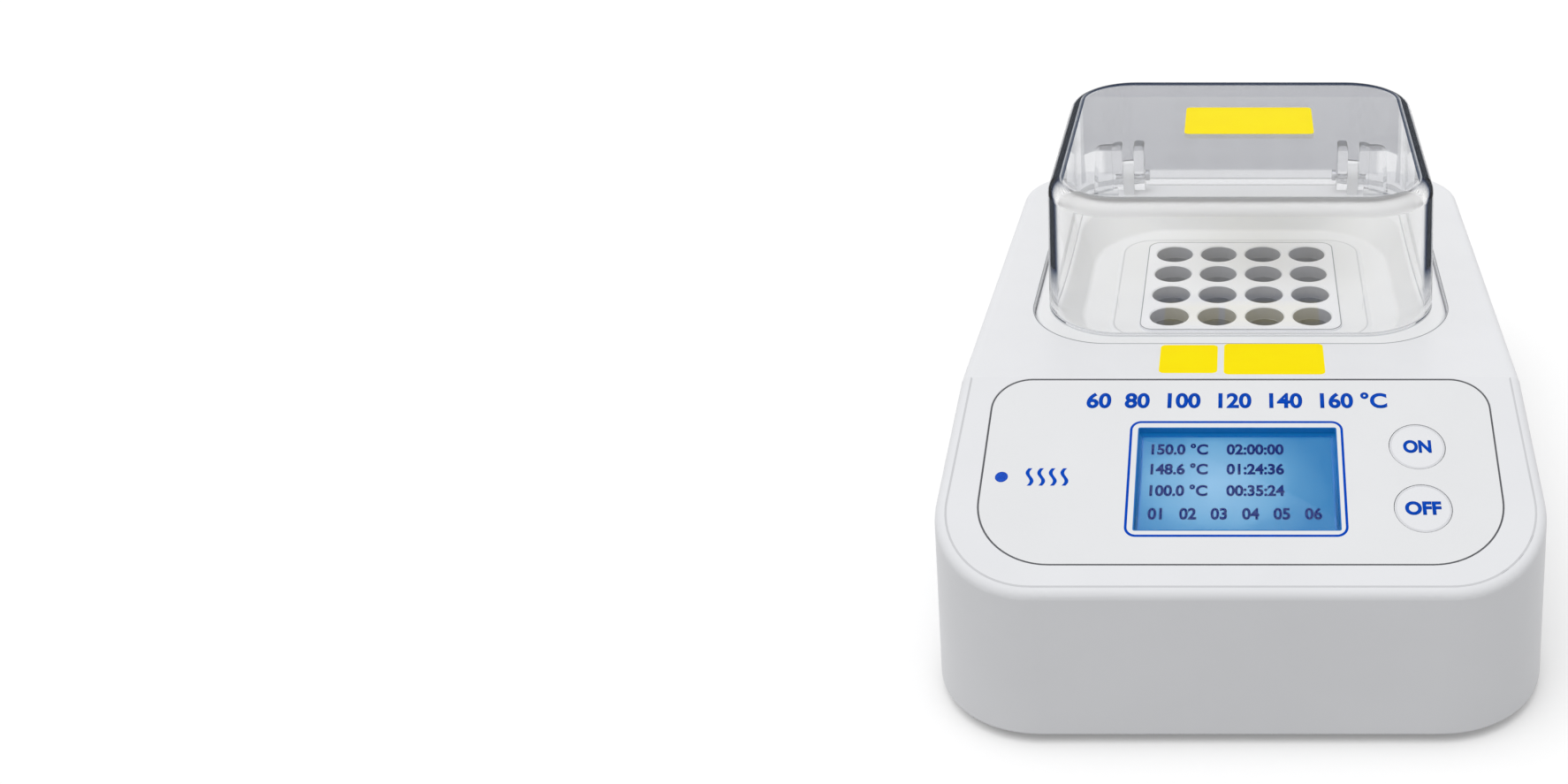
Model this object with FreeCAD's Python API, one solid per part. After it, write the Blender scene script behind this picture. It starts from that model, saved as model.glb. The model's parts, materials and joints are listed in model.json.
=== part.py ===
import FreeCAD, Part
import math
import os

# Dry-block reactor for digestion vials: sixteen heated wells under a clear hinged lid, with a
# sloped console in front. Millimetres and degrees. X points right, Y to the back, Z up; the
# origin lies on the bench under the middle of the housing.

# Clearances
run_gap = 0.05  # round a pin that turns or a plunger that slides
seat_gap = 0.3  # beside a piece that drops into a seat
slide_gap = 0.15  # on each side of a sliding drawer
overrun = 5.0  # how far a cutter passes the face that it opens

# Housing
housing_depth = 300.0
housing_height = 93.0
deck_back_half_width = 104.5
deck_front_half_width = 108.4
wall_draft = 4.0
back_corner_radius = 30.0
front_corner_radius = 36.0
wall = 3.0
top_edge_radius = 4.0
bottom_edge_radius = 1.0
slope_angle = 19.0
slope_from_back = 204.0  # back wall to the line where the slope starts
bench_gap = 4.0  # height of the feet

# Place of the wells
wells_from_back = 100.0
well_rows = 4
well_pitch = 20.5
well_radius = 8.2
well_depth = 60.0
plate_below_deck = 12.0

# Tray round the wells
shelf_drop = 1.5
flange_thickness = 2.5
flange_side_lap = 9.5  # flange beyond the bowl's mouth
flange_front = 77.2
flange_back = 88.0
flange_radius = 33.0
ledge_width = 7.5
ledge_thickness = 3.0
tray_wall = 2.5
bowl_half_width = 76.5
bowl_front = 65.5
bowl_back = 64.0
bowl_radius = 29.0
bowl_side_slope = 7.5  # how far the bowl's side wall runs in
floor_front = 59.0
floor_back = 58.5
floor_radius = 36.0
bowl_edge_radius = 2.0
pad_half_width = 55.0
pad_half_depth = 48.0
pad_radius = 14.0
pad_height = 0.8
tray_hole_half_width = 40.0
tray_hole_radius = 4.0

# Well plate
plate_half_width = 43.2
plate_radius = 6.0
plate_lip = 1.0
plate_hole_radius = 8.35
plate_hole_chamfer = 0.5
plate_thickness = 6.0

# Heating block and what carries it
block_half_width = 42.0
block_radius = 3.0
block_floor = 7.0
mat_thickness = 2.0
clamp_thickness = 2.0
spacer_spread = 36.0
spacer_radius = 5.0
block_screw_radius = 2.0
block_screw_bite = 5.0
screw_head_height = 2.2
screw_head_share = 1.8  # head radius as a share of the shank radius
recess_share = 0.5  # driver recess as a share of the head
jacket_thickness = 9.5
probe_radius = 2.0
probe_reach = 40.0
probe_stub = 14.0
probe_grip_radius = 3.2
probe_grip_length = 9.0
cutout_radius = 8.0
cutout_depth = 11.0
cutout_height = 38.0
cutout_ear_width = 28.0
cutout_ear_height = 14.0
cutout_ear_thickness = 1.2
cutout_tab_spread = 4.0

# Push-on tabs of the cutout and the mains switch
tab_length = 6.0
tab_width = 6.4
tab_thickness = 0.8

# Bottom cover, feet and fasteners
cover_thickness = 2.0
cover_gap = 0.4
boss_radius = 5.0
boss_side_inset = 12.0
boss_end_inset = 22.0
boss_middle_inset = 130.0
screw_radius = 1.5
screw_length = 12.0
foot_radius = 9.0
foot_top_share = 0.86
foot_side_inset = 24.0
foot_front_side_inset = 27.9
foot_end_inset = 26.0
vent_count = 9
vent_pitch = 12.0
vent_width = 4.0
vent_length = 60.0
vent_from_front = 40.0
rear_vent_count = 9
rear_vent_pitch = 8.0
rear_vent_width = 3.0
rear_vent_height = 20.0
rear_vent_top = 16.0  # below the deck
rear_vent_x = -60.0

# Lid
lid_side_lap = 4.3  # lid beyond the bowl's mouth
lid_front = 69.9
lid_back = 82.0
lid_radius = 32.0
lid_height = 57.0
lid_draft = 3.2
lid_wall = 3.0
lid_edge_radius = 6.5
lid_foot_gap = 0.3

# Lid hinge
hinge_inset = 6.5  # axis in front of the lid's rear foot
hinge_rise = 8.0  # axis above the shelf
hinge_pin_radius = 1.5
hinge_head_radius = 2.6
hinge_head_length = 1.8
hinge_pin_cover = 1.5  # left over the pin's blind end in the outer ear
ear_thickness = 5.0
ear_side_inset = 34.3  # lid's side to the inner ear
ear_edge_radius = 1.5
ear_radius = 7.2
ear_rise = 17.0
ear_nose_radius = 3.0
ear_swing_gap = 0.4
lug_thickness = 4.9
lug_radius = 5.6
web_thickness = 2.0
web_reach = 14.0
web_rise = 17.9
web_radius = 9.0

# Console panel, along the slope from the line where it starts
panel_side_inset = 14.9  # housing's front half width to the panel
panel_top = 1.5
panel_bottom = 84.7
panel_top_radius = 14.0
panel_bottom_radius = 27.0
panel_thickness = 2.4
panel_sink = 0.2
panel_edge_chamfer = 0.5
panel_seat = 3.0
panel_backing = 3.0
post_radius = 3.0
post_hole_radius = 1.1
post_side_inset = 12.0
post_end_inset = 15.0
panel_screw_radius = 1.0
panel_screw_length = 5.0

# Display
display_x = -1.3
display_middle = 47.7
display_half_width = 36.9
display_half_height = 23.2
display_corner = 0.8
window_thickness = 1.0
window_margin = 2.0
module_margin = 4.0
module_rim_margin = 1.5
module_rim_depth = 0.6
board_below_slope = 12.0
board_thickness = 1.6
display_board_half_width = 90.0
display_board_top = 10.0
display_board_bottom = 76.0

# Buttons
button_x = 65.0
button_first = 33.5
button_pitch = 27.7
button_radius = 10.25
button_travel = 0.6
button_gap = 0.25
button_collar_radius = 11.6
button_collar_thickness = 1.0
button_collar_gap = 0.1
button_stem_radius = 3.2
button_stem_length = 2.4
plunger_radius = 1.7
plunger_reach = 2.2  # how far the plunger stands in its switch at rest
switch_width = 12.0
switch_height = 4.0

# Heating lamp
lamp_side_inset = 6.8
lamp_along = 47.4
lamp_radius = 2.3
lamp_collar_radius = 3.2
lamp_collar_thickness = 0.8
led_width = 5.0
led_height = 2.0

# Control board
control_half_width = 80.0
control_reach = 80.0  # slope's start to the board's front edge
control_depth = 112.0
pillar_height = 8.0
pillar_radius = 3.0
pillar_inset = 6.0
pillar_bore_radius = 1.3
board_screw_radius = 1.25
board_screw_length = 6.0
core_width = 48.0
core_depth = 20.0
core_height = 40.0
core_window_width = 8.0
core_window_height = 24.0
core_leg = 8.0
coil_overhang = 9.0
transformer_x = -48.0
transformer_from_rear = 33.0
sink_x = 50.0
sink_from_rear = 24.0
sink_width = 48.0
sink_base = 3.0
sink_fin_count = 7
sink_fin_thickness = 1.5
sink_depth = 18.0
sink_height = 34.0
triac_width = 10.0
triac_thickness = 4.5
triac_height = 16.0
triac_lead_radius = 0.5
triac_lead_pitch = 2.5
triac_lead_length = 8.0
relay_x = 4.0
relay_from_rear = 22.0
relay_width = 19.0
relay_depth = 15.5
relay_height = 16.0
cap_count = 3
cap_radius = 5.0
cap_height = 16.0
cap_pitch = 15.0
cap_x = -60.0
cap_from_front = 26.0
buzzer_x = 66.0
buzzer_from_front = 14.0
buzzer_radius = 6.0
buzzer_height = 9.0
buzzer_port_radius = 1.0
cell_x = 38.0
cell_from_front = 20.0
cell_radius = 10.0
cell_thickness = 3.2
cell_holder_wall = 1.5
cell_holder_floor = 1.2
terminal_count = 6
terminal_pitch = 7.5
terminal_depth = 10.0
terminal_height = 11.0
terminal_x = -28.0
terminal_from_rear = 7.0
terminal_hole_radius = 2.0
terminal_hole_depth = 6.0

# Ribbon cable
ribbon_width = 25.0
ribbon_thickness = 1.0
ribbon_along = 40.0
ribbon_drop = 5.0
connector_depth = 6.0
connector_height = 8.0
connector_margin = 2.0
connector_gap = 1.0  # beside the transformer

# Mains inlet and switch, in a pocket of the back wall
pocket_depth = 5.0
pocket_x = 28.0
pocket_z = 38.0
pocket_half_width = 46.0
pocket_half_height = 21.0
pocket_radius = 4.0
inlet_x = 45.0
inlet_flange_half_width = 25.0
inlet_flange_half_height = 16.0
inlet_flange_thickness = 2.0
inlet_flange_radius = 3.0
inlet_wall = 1.7
inlet_body_depth = 26.0
socket_width = 24.5
socket_height = 17.0
socket_bevel = 5.0
socket_depth = 17.0
pin_width = 2.0
pin_height = 4.0
pin_length = 11.0
pin_spread = 7.0
pin_offset = 2.0
pin_tail = 7.0
inlet_screw_spread = 20.0
drawer_width = 22.0
drawer_height = 7.4
drawer_hold = 3.5  # still in the inlet with the drawer drawn out
drawer_wall = 1.0
drawer_grip_depth = 1.2
drawer_grip_height = 1.6
drawer_travel = 20.0
fuse_radius = 2.5
fuse_length = 20.0
fuse_cap_length = 5.0
fuse_glass_inset = 0.2
rocker_x = 2.0
switch_frame_half_width = 8.5
switch_frame_half_height = 13.0
switch_frame_thickness = 2.0
switch_body_half_width = 7.4
switch_body_half_height = 11.6
switch_body_depth = 20.0
switch_body_floor = 3.0
switch_tab_count = 3
switch_tab_pitch = 7.0
rocker_half_width = 5.6
rocker_half_height = 8.8
rocker_face = 4.4
rocker_dip = 1.6
rocker_back = 4.5
rocker_pivot_depth = 3.0
rocker_tilt = 9.0
rocker_pivot_radius = 1.5
rocker_side_gap = 0.3
rocker_end_gap = 0.9

# Sizes and places that follow from the ones above
flange_half_width = bowl_half_width + flange_side_lap
floor_half_width = bowl_half_width - bowl_side_slope
lid_half_width = bowl_half_width + lid_side_lap
ear_inner_x = lid_half_width - ear_side_inset
panel_half_width = deck_front_half_width - panel_side_inset
lamp_x = lamp_side_inset - panel_half_width
back_y = housing_depth / 2
front_y = -back_y
base_z = bench_gap
deck_z = base_z + housing_height
draft_run = housing_height * math.tan(math.radians(wall_draft))
fold_y = back_y - slope_from_back
wells_y = back_y - wells_from_back
plate_z = deck_z - plate_below_deck
shelf_z = deck_z - shelf_drop
ledge_z = shelf_z - flange_thickness
pad_z = plate_z - plate_lip
floor_z = pad_z - pad_height
block_top_z = plate_z - plate_thickness
well_bottom_z = plate_z - well_depth
block_z = well_bottom_z - block_floor
clamp_z = block_z - mat_thickness - clamp_thickness
cover_z = base_z + cover_thickness
spacer_height = clamp_z - cover_z
insulation_thickness = spacer_height - seat_gap
lid_foot_z = shelf_z + lid_foot_gap
lid_top_z = lid_foot_z + lid_height
hinge_y = wells_y + lid_back - hinge_inset
hinge_z = shelf_z + hinge_rise
probe_y = wells_y + block_half_width - probe_reach
probe_z = block_z + block_floor / 2
cutout_z = block_z + cutout_height
board_z = cover_z + pillar_height
board_top_z = board_z + board_thickness
control_front_y = fold_y - control_reach
control_back_y = control_front_y + control_depth
ribbon_x = transformer_x + (core_width + ribbon_width) / 2 + connector_margin + connector_gap
lug_gap = (ear_inner_x + ear_thickness, ear_inner_x + ear_thickness + lug_thickness + 2 * seat_gap)
outer_ear_x = lug_gap[1]
pocket_floor_y = back_y - pocket_depth
button_alongs = (button_first, button_first + button_pitch)
drawer_depth = drawer_travel + drawer_hold
well_shares = [row - (well_rows - 1) / 2 for row in range(well_rows)]
well_places = [(well_pitch * a, wells_y + well_pitch * b) for b in well_shares for a in well_shares]


def vector(x, y, z):
    return FreeCAD.Vector(x, y, z)


def box(x_low, x_high, y_low, y_high, z_low, z_high):
    corner = vector(x_low, y_low, z_low)
    return Part.makeBox(x_high - x_low, y_high - y_low, z_high - z_low, corner)


def block_at(x, y, z, width, depth, height):
    """A box standing on z, centred on x and y."""
    return box(x - width / 2, x + width / 2, y - depth / 2, y + depth / 2, z, z + height)


def rod(radius, length, x, y, z, way=(0, 0, 1)):
    return Part.makeCylinder(radius, length, vector(x, y, z), vector(*way))


def rod_across(radius, length, x, y, z):
    return rod(radius, length, x, y, z, (1, 0, 0))


def rod_back(radius, length, x, y, z):
    return rod(radius, length, x, y, z, (0, 1, 0))


def joined(shapes):
    whole = shapes[0]
    for shape in shapes[1:]:
        whole = whole.fuse(shape)
    return whole.removeSplitter()


def cut_from(shape, tools):
    for tool in tools:
        shape = shape.cut(tool)
    return shape


def group(shapes):
    return Part.makeCompound(shapes)


def outline(corners, radii, z=0):
    """A closed wire through the corners, in order against the clock, each rounded to its radius."""
    edges = []
    points = []
    for i, corner in enumerate(corners):
        here = vector(corner[0], corner[1], z)
        before = vector(*corners[i - 1], z)
        after = vector(*corners[(i + 1) % len(corners)], z)
        back = (before - here).normalize()
        ahead = (after - here).normalize()
        half = back.getAngle(ahead) / 2
        if radii[i] == 0:
            points.append((here, None, here))
            continue
        reach = radii[i] / math.tan(half)
        middle = here + (back + ahead).normalize() * (radii[i] / math.sin(half) - radii[i])
        points.append((here + back * reach, middle, here + ahead * reach))
    for i, (start, middle, end) in enumerate(points):
        if middle is not None:
            edges.append(Part.Arc(start, middle, end).toShape())
        following = points[(i + 1) % len(points)][0]
        edges.append(Part.LineSegment(end, following).toShape())
    return Part.Wire(edges)


def rounded(half_width, y_low, y_high, radii, z=0, x=0):
    """A rectangle outline; radii are one number, or a pair for the low and the high end."""
    low, high = radii if isinstance(radii, tuple) else (radii, radii)
    left = x - half_width
    right = x + half_width
    corners = [(left, y_low), (right, y_low), (right, y_high), (left, y_high)]
    return outline(corners, [low, low, high, high], z)


def well_square(half_width, radius, z):
    return rounded(half_width, wells_y - half_width, wells_y + half_width, radius, z)


def prism(wire, height):
    return Part.Face(wire).extrude(vector(0, 0, height))


def loft(low, high):
    return Part.makeLoft([low, high], True, True)


def tilted(shape):
    """Puts a shape drawn flat on the sloped face: its y runs up the slope, its z stands out of it."""
    turn = FreeCAD.Rotation(vector(1, 0, 0), slope_angle)
    placed = shape.copy()
    placed.Placement = FreeCAD.Placement(vector(0, fold_y, deck_z), turn).multiply(placed.Placement)
    return placed


def side_profile(points, x_low, x_high):
    """Extrudes along X an outline that is given as (y, z) points, each with its corner radius."""
    wire = outline([(y, z) for y, z, radius in points], [radius for y, z, radius in points])
    shape = Part.Face(wire).extrude(vector(0, 0, x_high - x_low))
    shape.rotate(vector(0, 0, 0), vector(0, 0, 1), 90)
    shape.rotate(vector(0, 0, 0), vector(0, 1, 0), 90)
    shape.translate(vector(x_low, 0, 0))
    return shape


def edges_near_height(shape, z, slack):
    """The edges that lie wholly at one height."""
    return [e for e in shape.Edges if abs(e.BoundBox.ZMin - z) < slack and abs(e.BoundBox.ZMax - z) < slack]


def mirrored(shape):
    return shape.mirror(vector(0, 0, 0), vector(1, 0, 0))


# Housing
def body_outline(z, inset):
    """The housing's plan at a height, drawn in by a wall: wider at the front, and lower down."""
    drop = (deck_z - z) * math.tan(math.radians(wall_draft))
    back = back_y - inset
    deck_front = front_y + draft_run
    front = deck_front - drop + inset
    widen = (deck_front_half_width - deck_back_half_width) / (back_y - deck_front)
    back_half = deck_back_half_width + drop - inset + widen * inset
    front_half = deck_back_half_width + drop - inset + widen * (back_y - front)
    corners = [(-front_half, front), (front_half, front), (back_half, back), (-back_half, back)]
    front_radius = front_corner_radius + drop - inset
    back_radius = back_corner_radius - inset
    return outline(corners, [front_radius, front_radius, back_radius, back_radius], z)


def above_slope(depth):
    """Everything over the sloped face sunk by a depth, from its upper end forwards."""
    reach = housing_depth
    return tilted(box(-reach, reach, -reach, reach, -depth, reach))


def body_solid(inset, low_z):
    top = deck_z - inset
    solid = loft(body_outline(low_z, inset), body_outline(top, inset))
    return solid.cut(above_slope(inset))


def panel_outline(grow, w):
    radii = (panel_bottom_radius + grow, panel_top_radius + grow)
    return rounded(panel_half_width + grow, -panel_bottom - grow, -panel_top + grow, radii, w)


def flange_outline(grow, z):
    low = wells_y - flange_front - grow
    high = wells_y + flange_back + grow
    return rounded(flange_half_width + grow, low, high, flange_radius + grow, z)


def boss_places():
    side = deck_back_half_width - boss_side_inset
    front_side = deck_front_half_width - boss_side_inset + wall
    front_boss_y = front_y + boss_end_inset + boss_side_inset
    places = [(side, back_y - boss_end_inset)]
    places.append((side + wall, back_y - boss_middle_inset))
    places.append((front_side, front_boss_y))
    return places + [(-x, y) for x, y in places]


def round_top(shape):
    """Rounds the rim between the top faces and the walls, then the foot of the walls."""
    rim = []
    for edge in shape.Edges:
        middle = edge.valueAt((edge.FirstParameter + edge.LastParameter) / 2)
        height = middle.z - deck_z
        if middle.y < fold_y:
            height = (middle.z - deck_z) - (middle.y - fold_y) * math.tan(math.radians(slope_angle))
        crosses = abs(middle.y - fold_y) < top_edge_radius and abs(middle.x) < top_edge_radius
        if abs(height) < seat_gap and not crosses:
            rim.append(edge)
    rounded_rim = shape.makeFillet(top_edge_radius, rim)
    return rounded_rim.makeFillet(bottom_edge_radius, edges_near_height(rounded_rim, base_z, run_gap))


def make_housing():
    outer = round_top(body_solid(0, base_z))
    cavity = body_solid(wall, base_z - overrun)
    shell = outer.cut(cavity)
    room = body_solid(wall / 2, base_z).common(outer)

    ledge_low = ledge_z - ledge_thickness
    ledge = prism(flange_outline(ledge_thickness, ledge_low), deck_z - wall / 2 - ledge_low)
    backing_depth = panel_sink + panel_thickness + panel_backing
    backing = tilted(prism(panel_outline(panel_seat, -backing_depth), backing_depth - wall / 2))
    bosses = [rod(boss_radius, housing_height, x, y, cover_z) for x, y in boss_places()]
    pocket_back_y = pocket_floor_y - wall
    pocket_box = box(
        pocket_x - pocket_half_width - wall,
        pocket_x + pocket_half_width + wall,
        pocket_back_y,
        back_y - wall / 2,
        pocket_z - pocket_half_height - wall,
        pocket_z + pocket_half_height + wall,
    )
    whole = joined([shell] + [extra.common(room) for extra in [ledge, backing, pocket_box] + bosses])

    cutters = [prism(flange_outline(seat_gap, ledge_z), deck_z - ledge_z + overrun)]
    cutters.append(prism(flange_outline(-ledge_width, ledge_low - overrun), deck_z - ledge_low + overrun))
    seat_low = -panel_sink - panel_thickness
    cutters.append(tilted(prism(panel_outline(seat_gap, seat_low), overrun - seat_low)))
    edge = loft(
        panel_outline(seat_gap, -panel_edge_chamfer),
        panel_outline(seat_gap + 2 * panel_edge_chamfer, panel_edge_chamfer),
    )
    cutters.append(tilted(edge))
    opening_depth = backing_depth + overrun
    cutters.append(tilted(prism(panel_outline(-panel_seat, -opening_depth), opening_depth)))
    pocket = rounded(pocket_half_width, -pocket_half_height, pocket_half_height, pocket_radius, 0, pocket_x)
    cutters.append(on_back_wall(prism(pocket, pocket_depth + overrun), pocket_floor_y))
    cutters.append(inlet_body_block(seat_gap, pocket_back_y - overrun, pocket_floor_y + overrun))
    cutters.append(switch_body_block(seat_gap, pocket_back_y - overrun, pocket_floor_y + overrun))
    for x, y in boss_places():
        cutters.append(rod(screw_radius, screw_length, x, y, cover_z - overrun))
        cutters.append(rod(screw_radius, screw_length, x, y, cover_z))
    for side in (-1, 1):
        x = inlet_x + side * inlet_screw_spread
        cutters.append(rod_back(screw_radius, wall + 2 * overrun, x, pocket_back_y - overrun, pocket_z))
    for i in range(rear_vent_count):
        x = rear_vent_x + rear_vent_pitch * (i - (rear_vent_count - 1) / 2)
        low = deck_z - rear_vent_top - rear_vent_height
        through = 2 * (wall + overrun)
        cutters.append(block_at(x, back_y, low, rear_vent_width, through, rear_vent_height))
    return cut_from(whole, cutters)


def on_back_wall(shape, y):
    """Stands a shape drawn flat on the back wall: its y runs up, its z points out of the wall."""
    placed = shape.copy()
    placed.rotate(vector(0, 0, 0), vector(1, 0, 0), 90)
    placed = placed.mirror(vector(0, 0, 0), vector(0, 1, 0))
    placed.translate(vector(0, y, pocket_z))
    return placed


# Tray, well plate and block
def bowl_outline(grow, z):
    low = wells_y - bowl_front - grow
    high = wells_y + bowl_back + grow
    return rounded(bowl_half_width + grow, low, high, bowl_radius + grow, z)


def floor_outline(grow, z):
    low = wells_y - floor_front - grow
    high = wells_y + floor_back + grow
    return rounded(floor_half_width + grow, low, high, floor_radius + grow, z)


def pad_outline(grow, z):
    low = wells_y - pad_half_depth - grow
    high = wells_y + pad_half_depth + grow
    return rounded(pad_half_width + grow, low, high, pad_radius + grow, z)


def make_tray():
    flange = prism(flange_outline(0, ledge_z), flange_thickness)
    depth = shelf_z - floor_z
    hollow = loft(floor_outline(0, floor_z), bowl_outline(0, shelf_z))
    hollow = hollow.makeFillet(tray_wall, edges_near_height(hollow, floor_z, run_gap))
    bowl = loft(floor_outline(tray_wall, floor_z - tray_wall), bowl_outline(tray_wall, shelf_z))
    body = joined([flange, bowl]).cut(hollow)
    rim = [e for e in edges_near_height(body, shelf_z, run_gap) if inside_bowl(e)]
    body = body.makeFillet(bowl_edge_radius, rim)
    pad = loft(pad_outline(2 * pad_height, floor_z), pad_outline(0, pad_z))
    hole = well_square(tray_hole_half_width, tray_hole_radius, floor_z - depth)
    lugs = [make_lug(lug_gap[0] + seat_gap)]
    lugs.append(mirrored(lugs[0]))
    return joined([body, pad] + lugs).cut(prism(hole, 2 * depth))


def inside_bowl(edge):
    bounds = edge.BoundBox
    inside_x = bounds.XMax < bowl_half_width + run_gap and bounds.XMin > -bowl_half_width - run_gap
    return inside_x and bounds.YMax < wells_y + bowl_back + run_gap


def make_lug(x):
    """An upright lug for one hinge pin, round over the axis and straight down to the flange."""
    foot_z = shelf_z - flange_thickness / 2
    foot = block_at(x + lug_thickness / 2, hinge_y, foot_z, lug_thickness, 2 * lug_radius, hinge_z - foot_z)
    nose = rod_across(lug_radius, lug_thickness, x, hinge_y, hinge_z)
    through = lug_thickness + 2 * overrun
    hole = rod_across(hinge_pin_radius + run_gap / 2, through, x - overrun, hinge_y, hinge_z)
    return joined([foot, nose]).cut(hole)


def make_well_plate():
    lip = prism(well_square(plate_half_width, plate_radius, pad_z), plate_lip)
    lip = lip.makeFillet(plate_lip / 2, edges_near_height(lip, plate_z, run_gap))
    mouth_radius = plate_hole_radius + plate_hole_chamfer
    spigot_half = tray_hole_half_width - seat_gap
    spigot_radius = tray_hole_radius - seat_gap
    spigot = prism(well_square(spigot_half, spigot_radius, block_top_z), plate_thickness - plate_lip)
    holes = []
    for x, y in well_places:
        start = vector(x, y, plate_z - plate_hole_chamfer)
        holes.append(rod(plate_hole_radius, plate_thickness + 2 * overrun, x, y, block_top_z - overrun))
        holes.append(Part.makeCone(plate_hole_radius, mouth_radius, plate_hole_chamfer, start))
    return cut_from(joined([lip, spigot]), holes)


def spacer_places():
    return [(sx * spacer_spread, wells_y + sy * spacer_spread) for sx in (-1, 1) for sy in (-1, 1)]


def block_slab(z, height):
    return prism(well_square(block_half_width, block_radius, z), height)


def make_block():
    wells = [rod(well_radius, well_depth + overrun, x, y, well_bottom_z) for x, y in well_places]
    bites = [rod(block_screw_radius, block_screw_bite, x, y, block_z) for x, y in spacer_places()]
    probe = rod_back(probe_radius + run_gap, probe_reach + overrun, 0, probe_y, probe_z)
    return cut_from(block_slab(block_z, block_top_z - block_z), wells + bites + [probe])


def pierced(slab, radius, places):
    bounds = slab.BoundBox
    holes = [rod(radius, bounds.ZLength + 2 * overrun, x, y, bounds.ZMin - overrun) for x, y in places]
    return cut_from(slab, holes)


def make_jacket():
    inner = block_half_width + seat_gap
    outer = inner + jacket_thickness
    low = cover_z + insulation_thickness
    shell = prism(well_square(outer, block_radius + jacket_thickness, low), block_top_z - low)
    core = prism(well_square(inner, block_radius, low - overrun), block_top_z - low + 2 * overrun)
    start = wells_y + inner - overrun
    through = jacket_thickness + 2 * overrun
    window = rod_back(cutout_radius + seat_gap, through, 0, start, cutout_z)
    slot = rod_back(probe_grip_radius + seat_gap, through, 0, start, probe_z)
    return cut_from(shell, [core, window, slot])


def make_insulation():
    outer = block_half_width + seat_gap + jacket_thickness
    slab = prism(well_square(outer, block_radius + jacket_thickness, cover_z), insulation_thickness)
    return pierced(slab, spacer_radius + seat_gap, spacer_places())


def make_spacer(x, y):
    bore = rod(block_screw_radius + seat_gap, spacer_height + 2 * overrun, x, y, cover_z - overrun)
    return rod(spacer_radius, spacer_height, x, y, cover_z).cut(bore)


def make_screw(radius, length, x, y, z, way):
    """A pan-head screw: z is the seat of its head, way points along its shank."""
    head_radius = radius * screw_head_share
    far = vector(x, y, z) - vector(*way) * screw_head_height
    head = rod(head_radius, screw_head_height, far.x, far.y, far.z, way)
    recess = rod(head_radius * recess_share, screw_head_height * recess_share, far.x, far.y, far.z, way)
    return joined([head, rod(radius, length, x, y, z, way)]).cut(recess)


def make_probe():
    length = probe_reach + probe_stub
    sheath = rod_back(probe_radius, length, 0, probe_y, probe_z)
    grip = rod_back(probe_grip_radius, probe_grip_length, 0, probe_y + length - probe_grip_length, probe_z)
    return joined([sheath, grip])


def make_cutout():
    face = wells_y + block_half_width
    outer = face + seat_gap + jacket_thickness
    can = rod_back(cutout_radius, cutout_depth, 0, face, cutout_z)
    ear_y = outer + cutout_ear_thickness / 2
    ear_z = cutout_z - cutout_ear_height / 2
    ears = block_at(0, ear_y, ear_z, cutout_ear_width, cutout_ear_thickness, cutout_ear_height)
    tabs = []
    for side in (-1, 1):
        x = side * cutout_tab_spread
        y = outer + tab_length / 2
        tabs.append(block_at(x, y, cutout_z - tab_width / 2, tab_thickness, tab_length, tab_width))
    return joined([can, ears] + tabs)


# Bottom cover and feet
def make_cover():
    inset = wall + cover_gap
    plate = prism(body_outline(base_z, inset), cover_thickness)
    slots = []
    low = front_y + vent_from_front
    end_radius = vent_width / 2 - run_gap
    for i in range(vent_count):
        x = vent_pitch * (i - (vent_count - 1) / 2)
        wire = rounded(vent_width / 2, low, low + vent_length, end_radius, base_z - overrun, x)
        slots.append(prism(wire, cover_thickness + 2 * overrun))
    plate = cut_from(plate, slots)
    plate = pierced(plate, screw_radius + seat_gap, boss_places())
    return pierced(plate, block_screw_radius + seat_gap, spacer_places())


def foot_places():
    back = (deck_back_half_width - foot_side_inset, back_y - foot_end_inset)
    front = (deck_front_half_width - foot_front_side_inset, front_y + foot_end_inset)
    return [(side * x, y) for side in (-1, 1) for x, y in (front, back)]


def make_foot(x, y):
    low = foot_radius * foot_top_share
    cone = Part.makeCone(low, foot_radius, bench_gap, vector(x, y, 0))
    return cone.makeFillet(seat_gap, edges_near_height(cone, 0, run_gap))


# Lid
def lid_outline(z, inset):
    rise = (z - lid_foot_z) * math.tan(math.radians(lid_draft))
    drawn = inset + rise
    low = wells_y - lid_front + drawn
    high = wells_y + lid_back - drawn
    return rounded(lid_half_width - drawn, low, high, lid_radius - drawn, z)


def lid_solid(inset, low_z, edge_radius):
    solid = loft(lid_outline(low_z, inset), lid_outline(lid_top_z - inset, inset))
    return solid.makeFillet(edge_radius, edges_near_height(solid, lid_top_z - inset, run_gap))


def make_ear(x):
    nose = rod_across(ear_radius, ear_thickness, x, hinge_y, hinge_z)
    top = hinge_z + ear_rise
    front = hinge_y - ear_radius
    back = hinge_y + hinge_inset
    points = [(front, hinge_z, 0), (back, hinge_z, 0), (back, top, 0), (front, top, ear_nose_radius)]
    upright = side_profile(points, x, x + ear_thickness)
    crown = edges_near_height(upright, top, run_gap)
    crown = [edge for edge in crown if edge.BoundBox.XLength < run_gap]
    return joined([nose, upright.makeFillet(ear_edge_radius, crown)])


def make_web():
    """The upright web from the outer ear to the rounded corner of the lid."""
    front = hinge_y - ear_radius
    x_low = outer_ear_x + ear_thickness / 2
    height = hinge_z + web_rise - lid_foot_z
    corners = [(x_low, 0), (x_low + web_reach, 0), (x_low + web_reach, height), (x_low, height)]
    plate = prism(outline(corners, [0, 0, web_radius, 0]), web_thickness)
    plate.rotate(vector(0, 0, 0), vector(1, 0, 0), 90)
    plate.translate(vector(0, front + web_thickness, lid_foot_z))
    return plate


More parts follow.
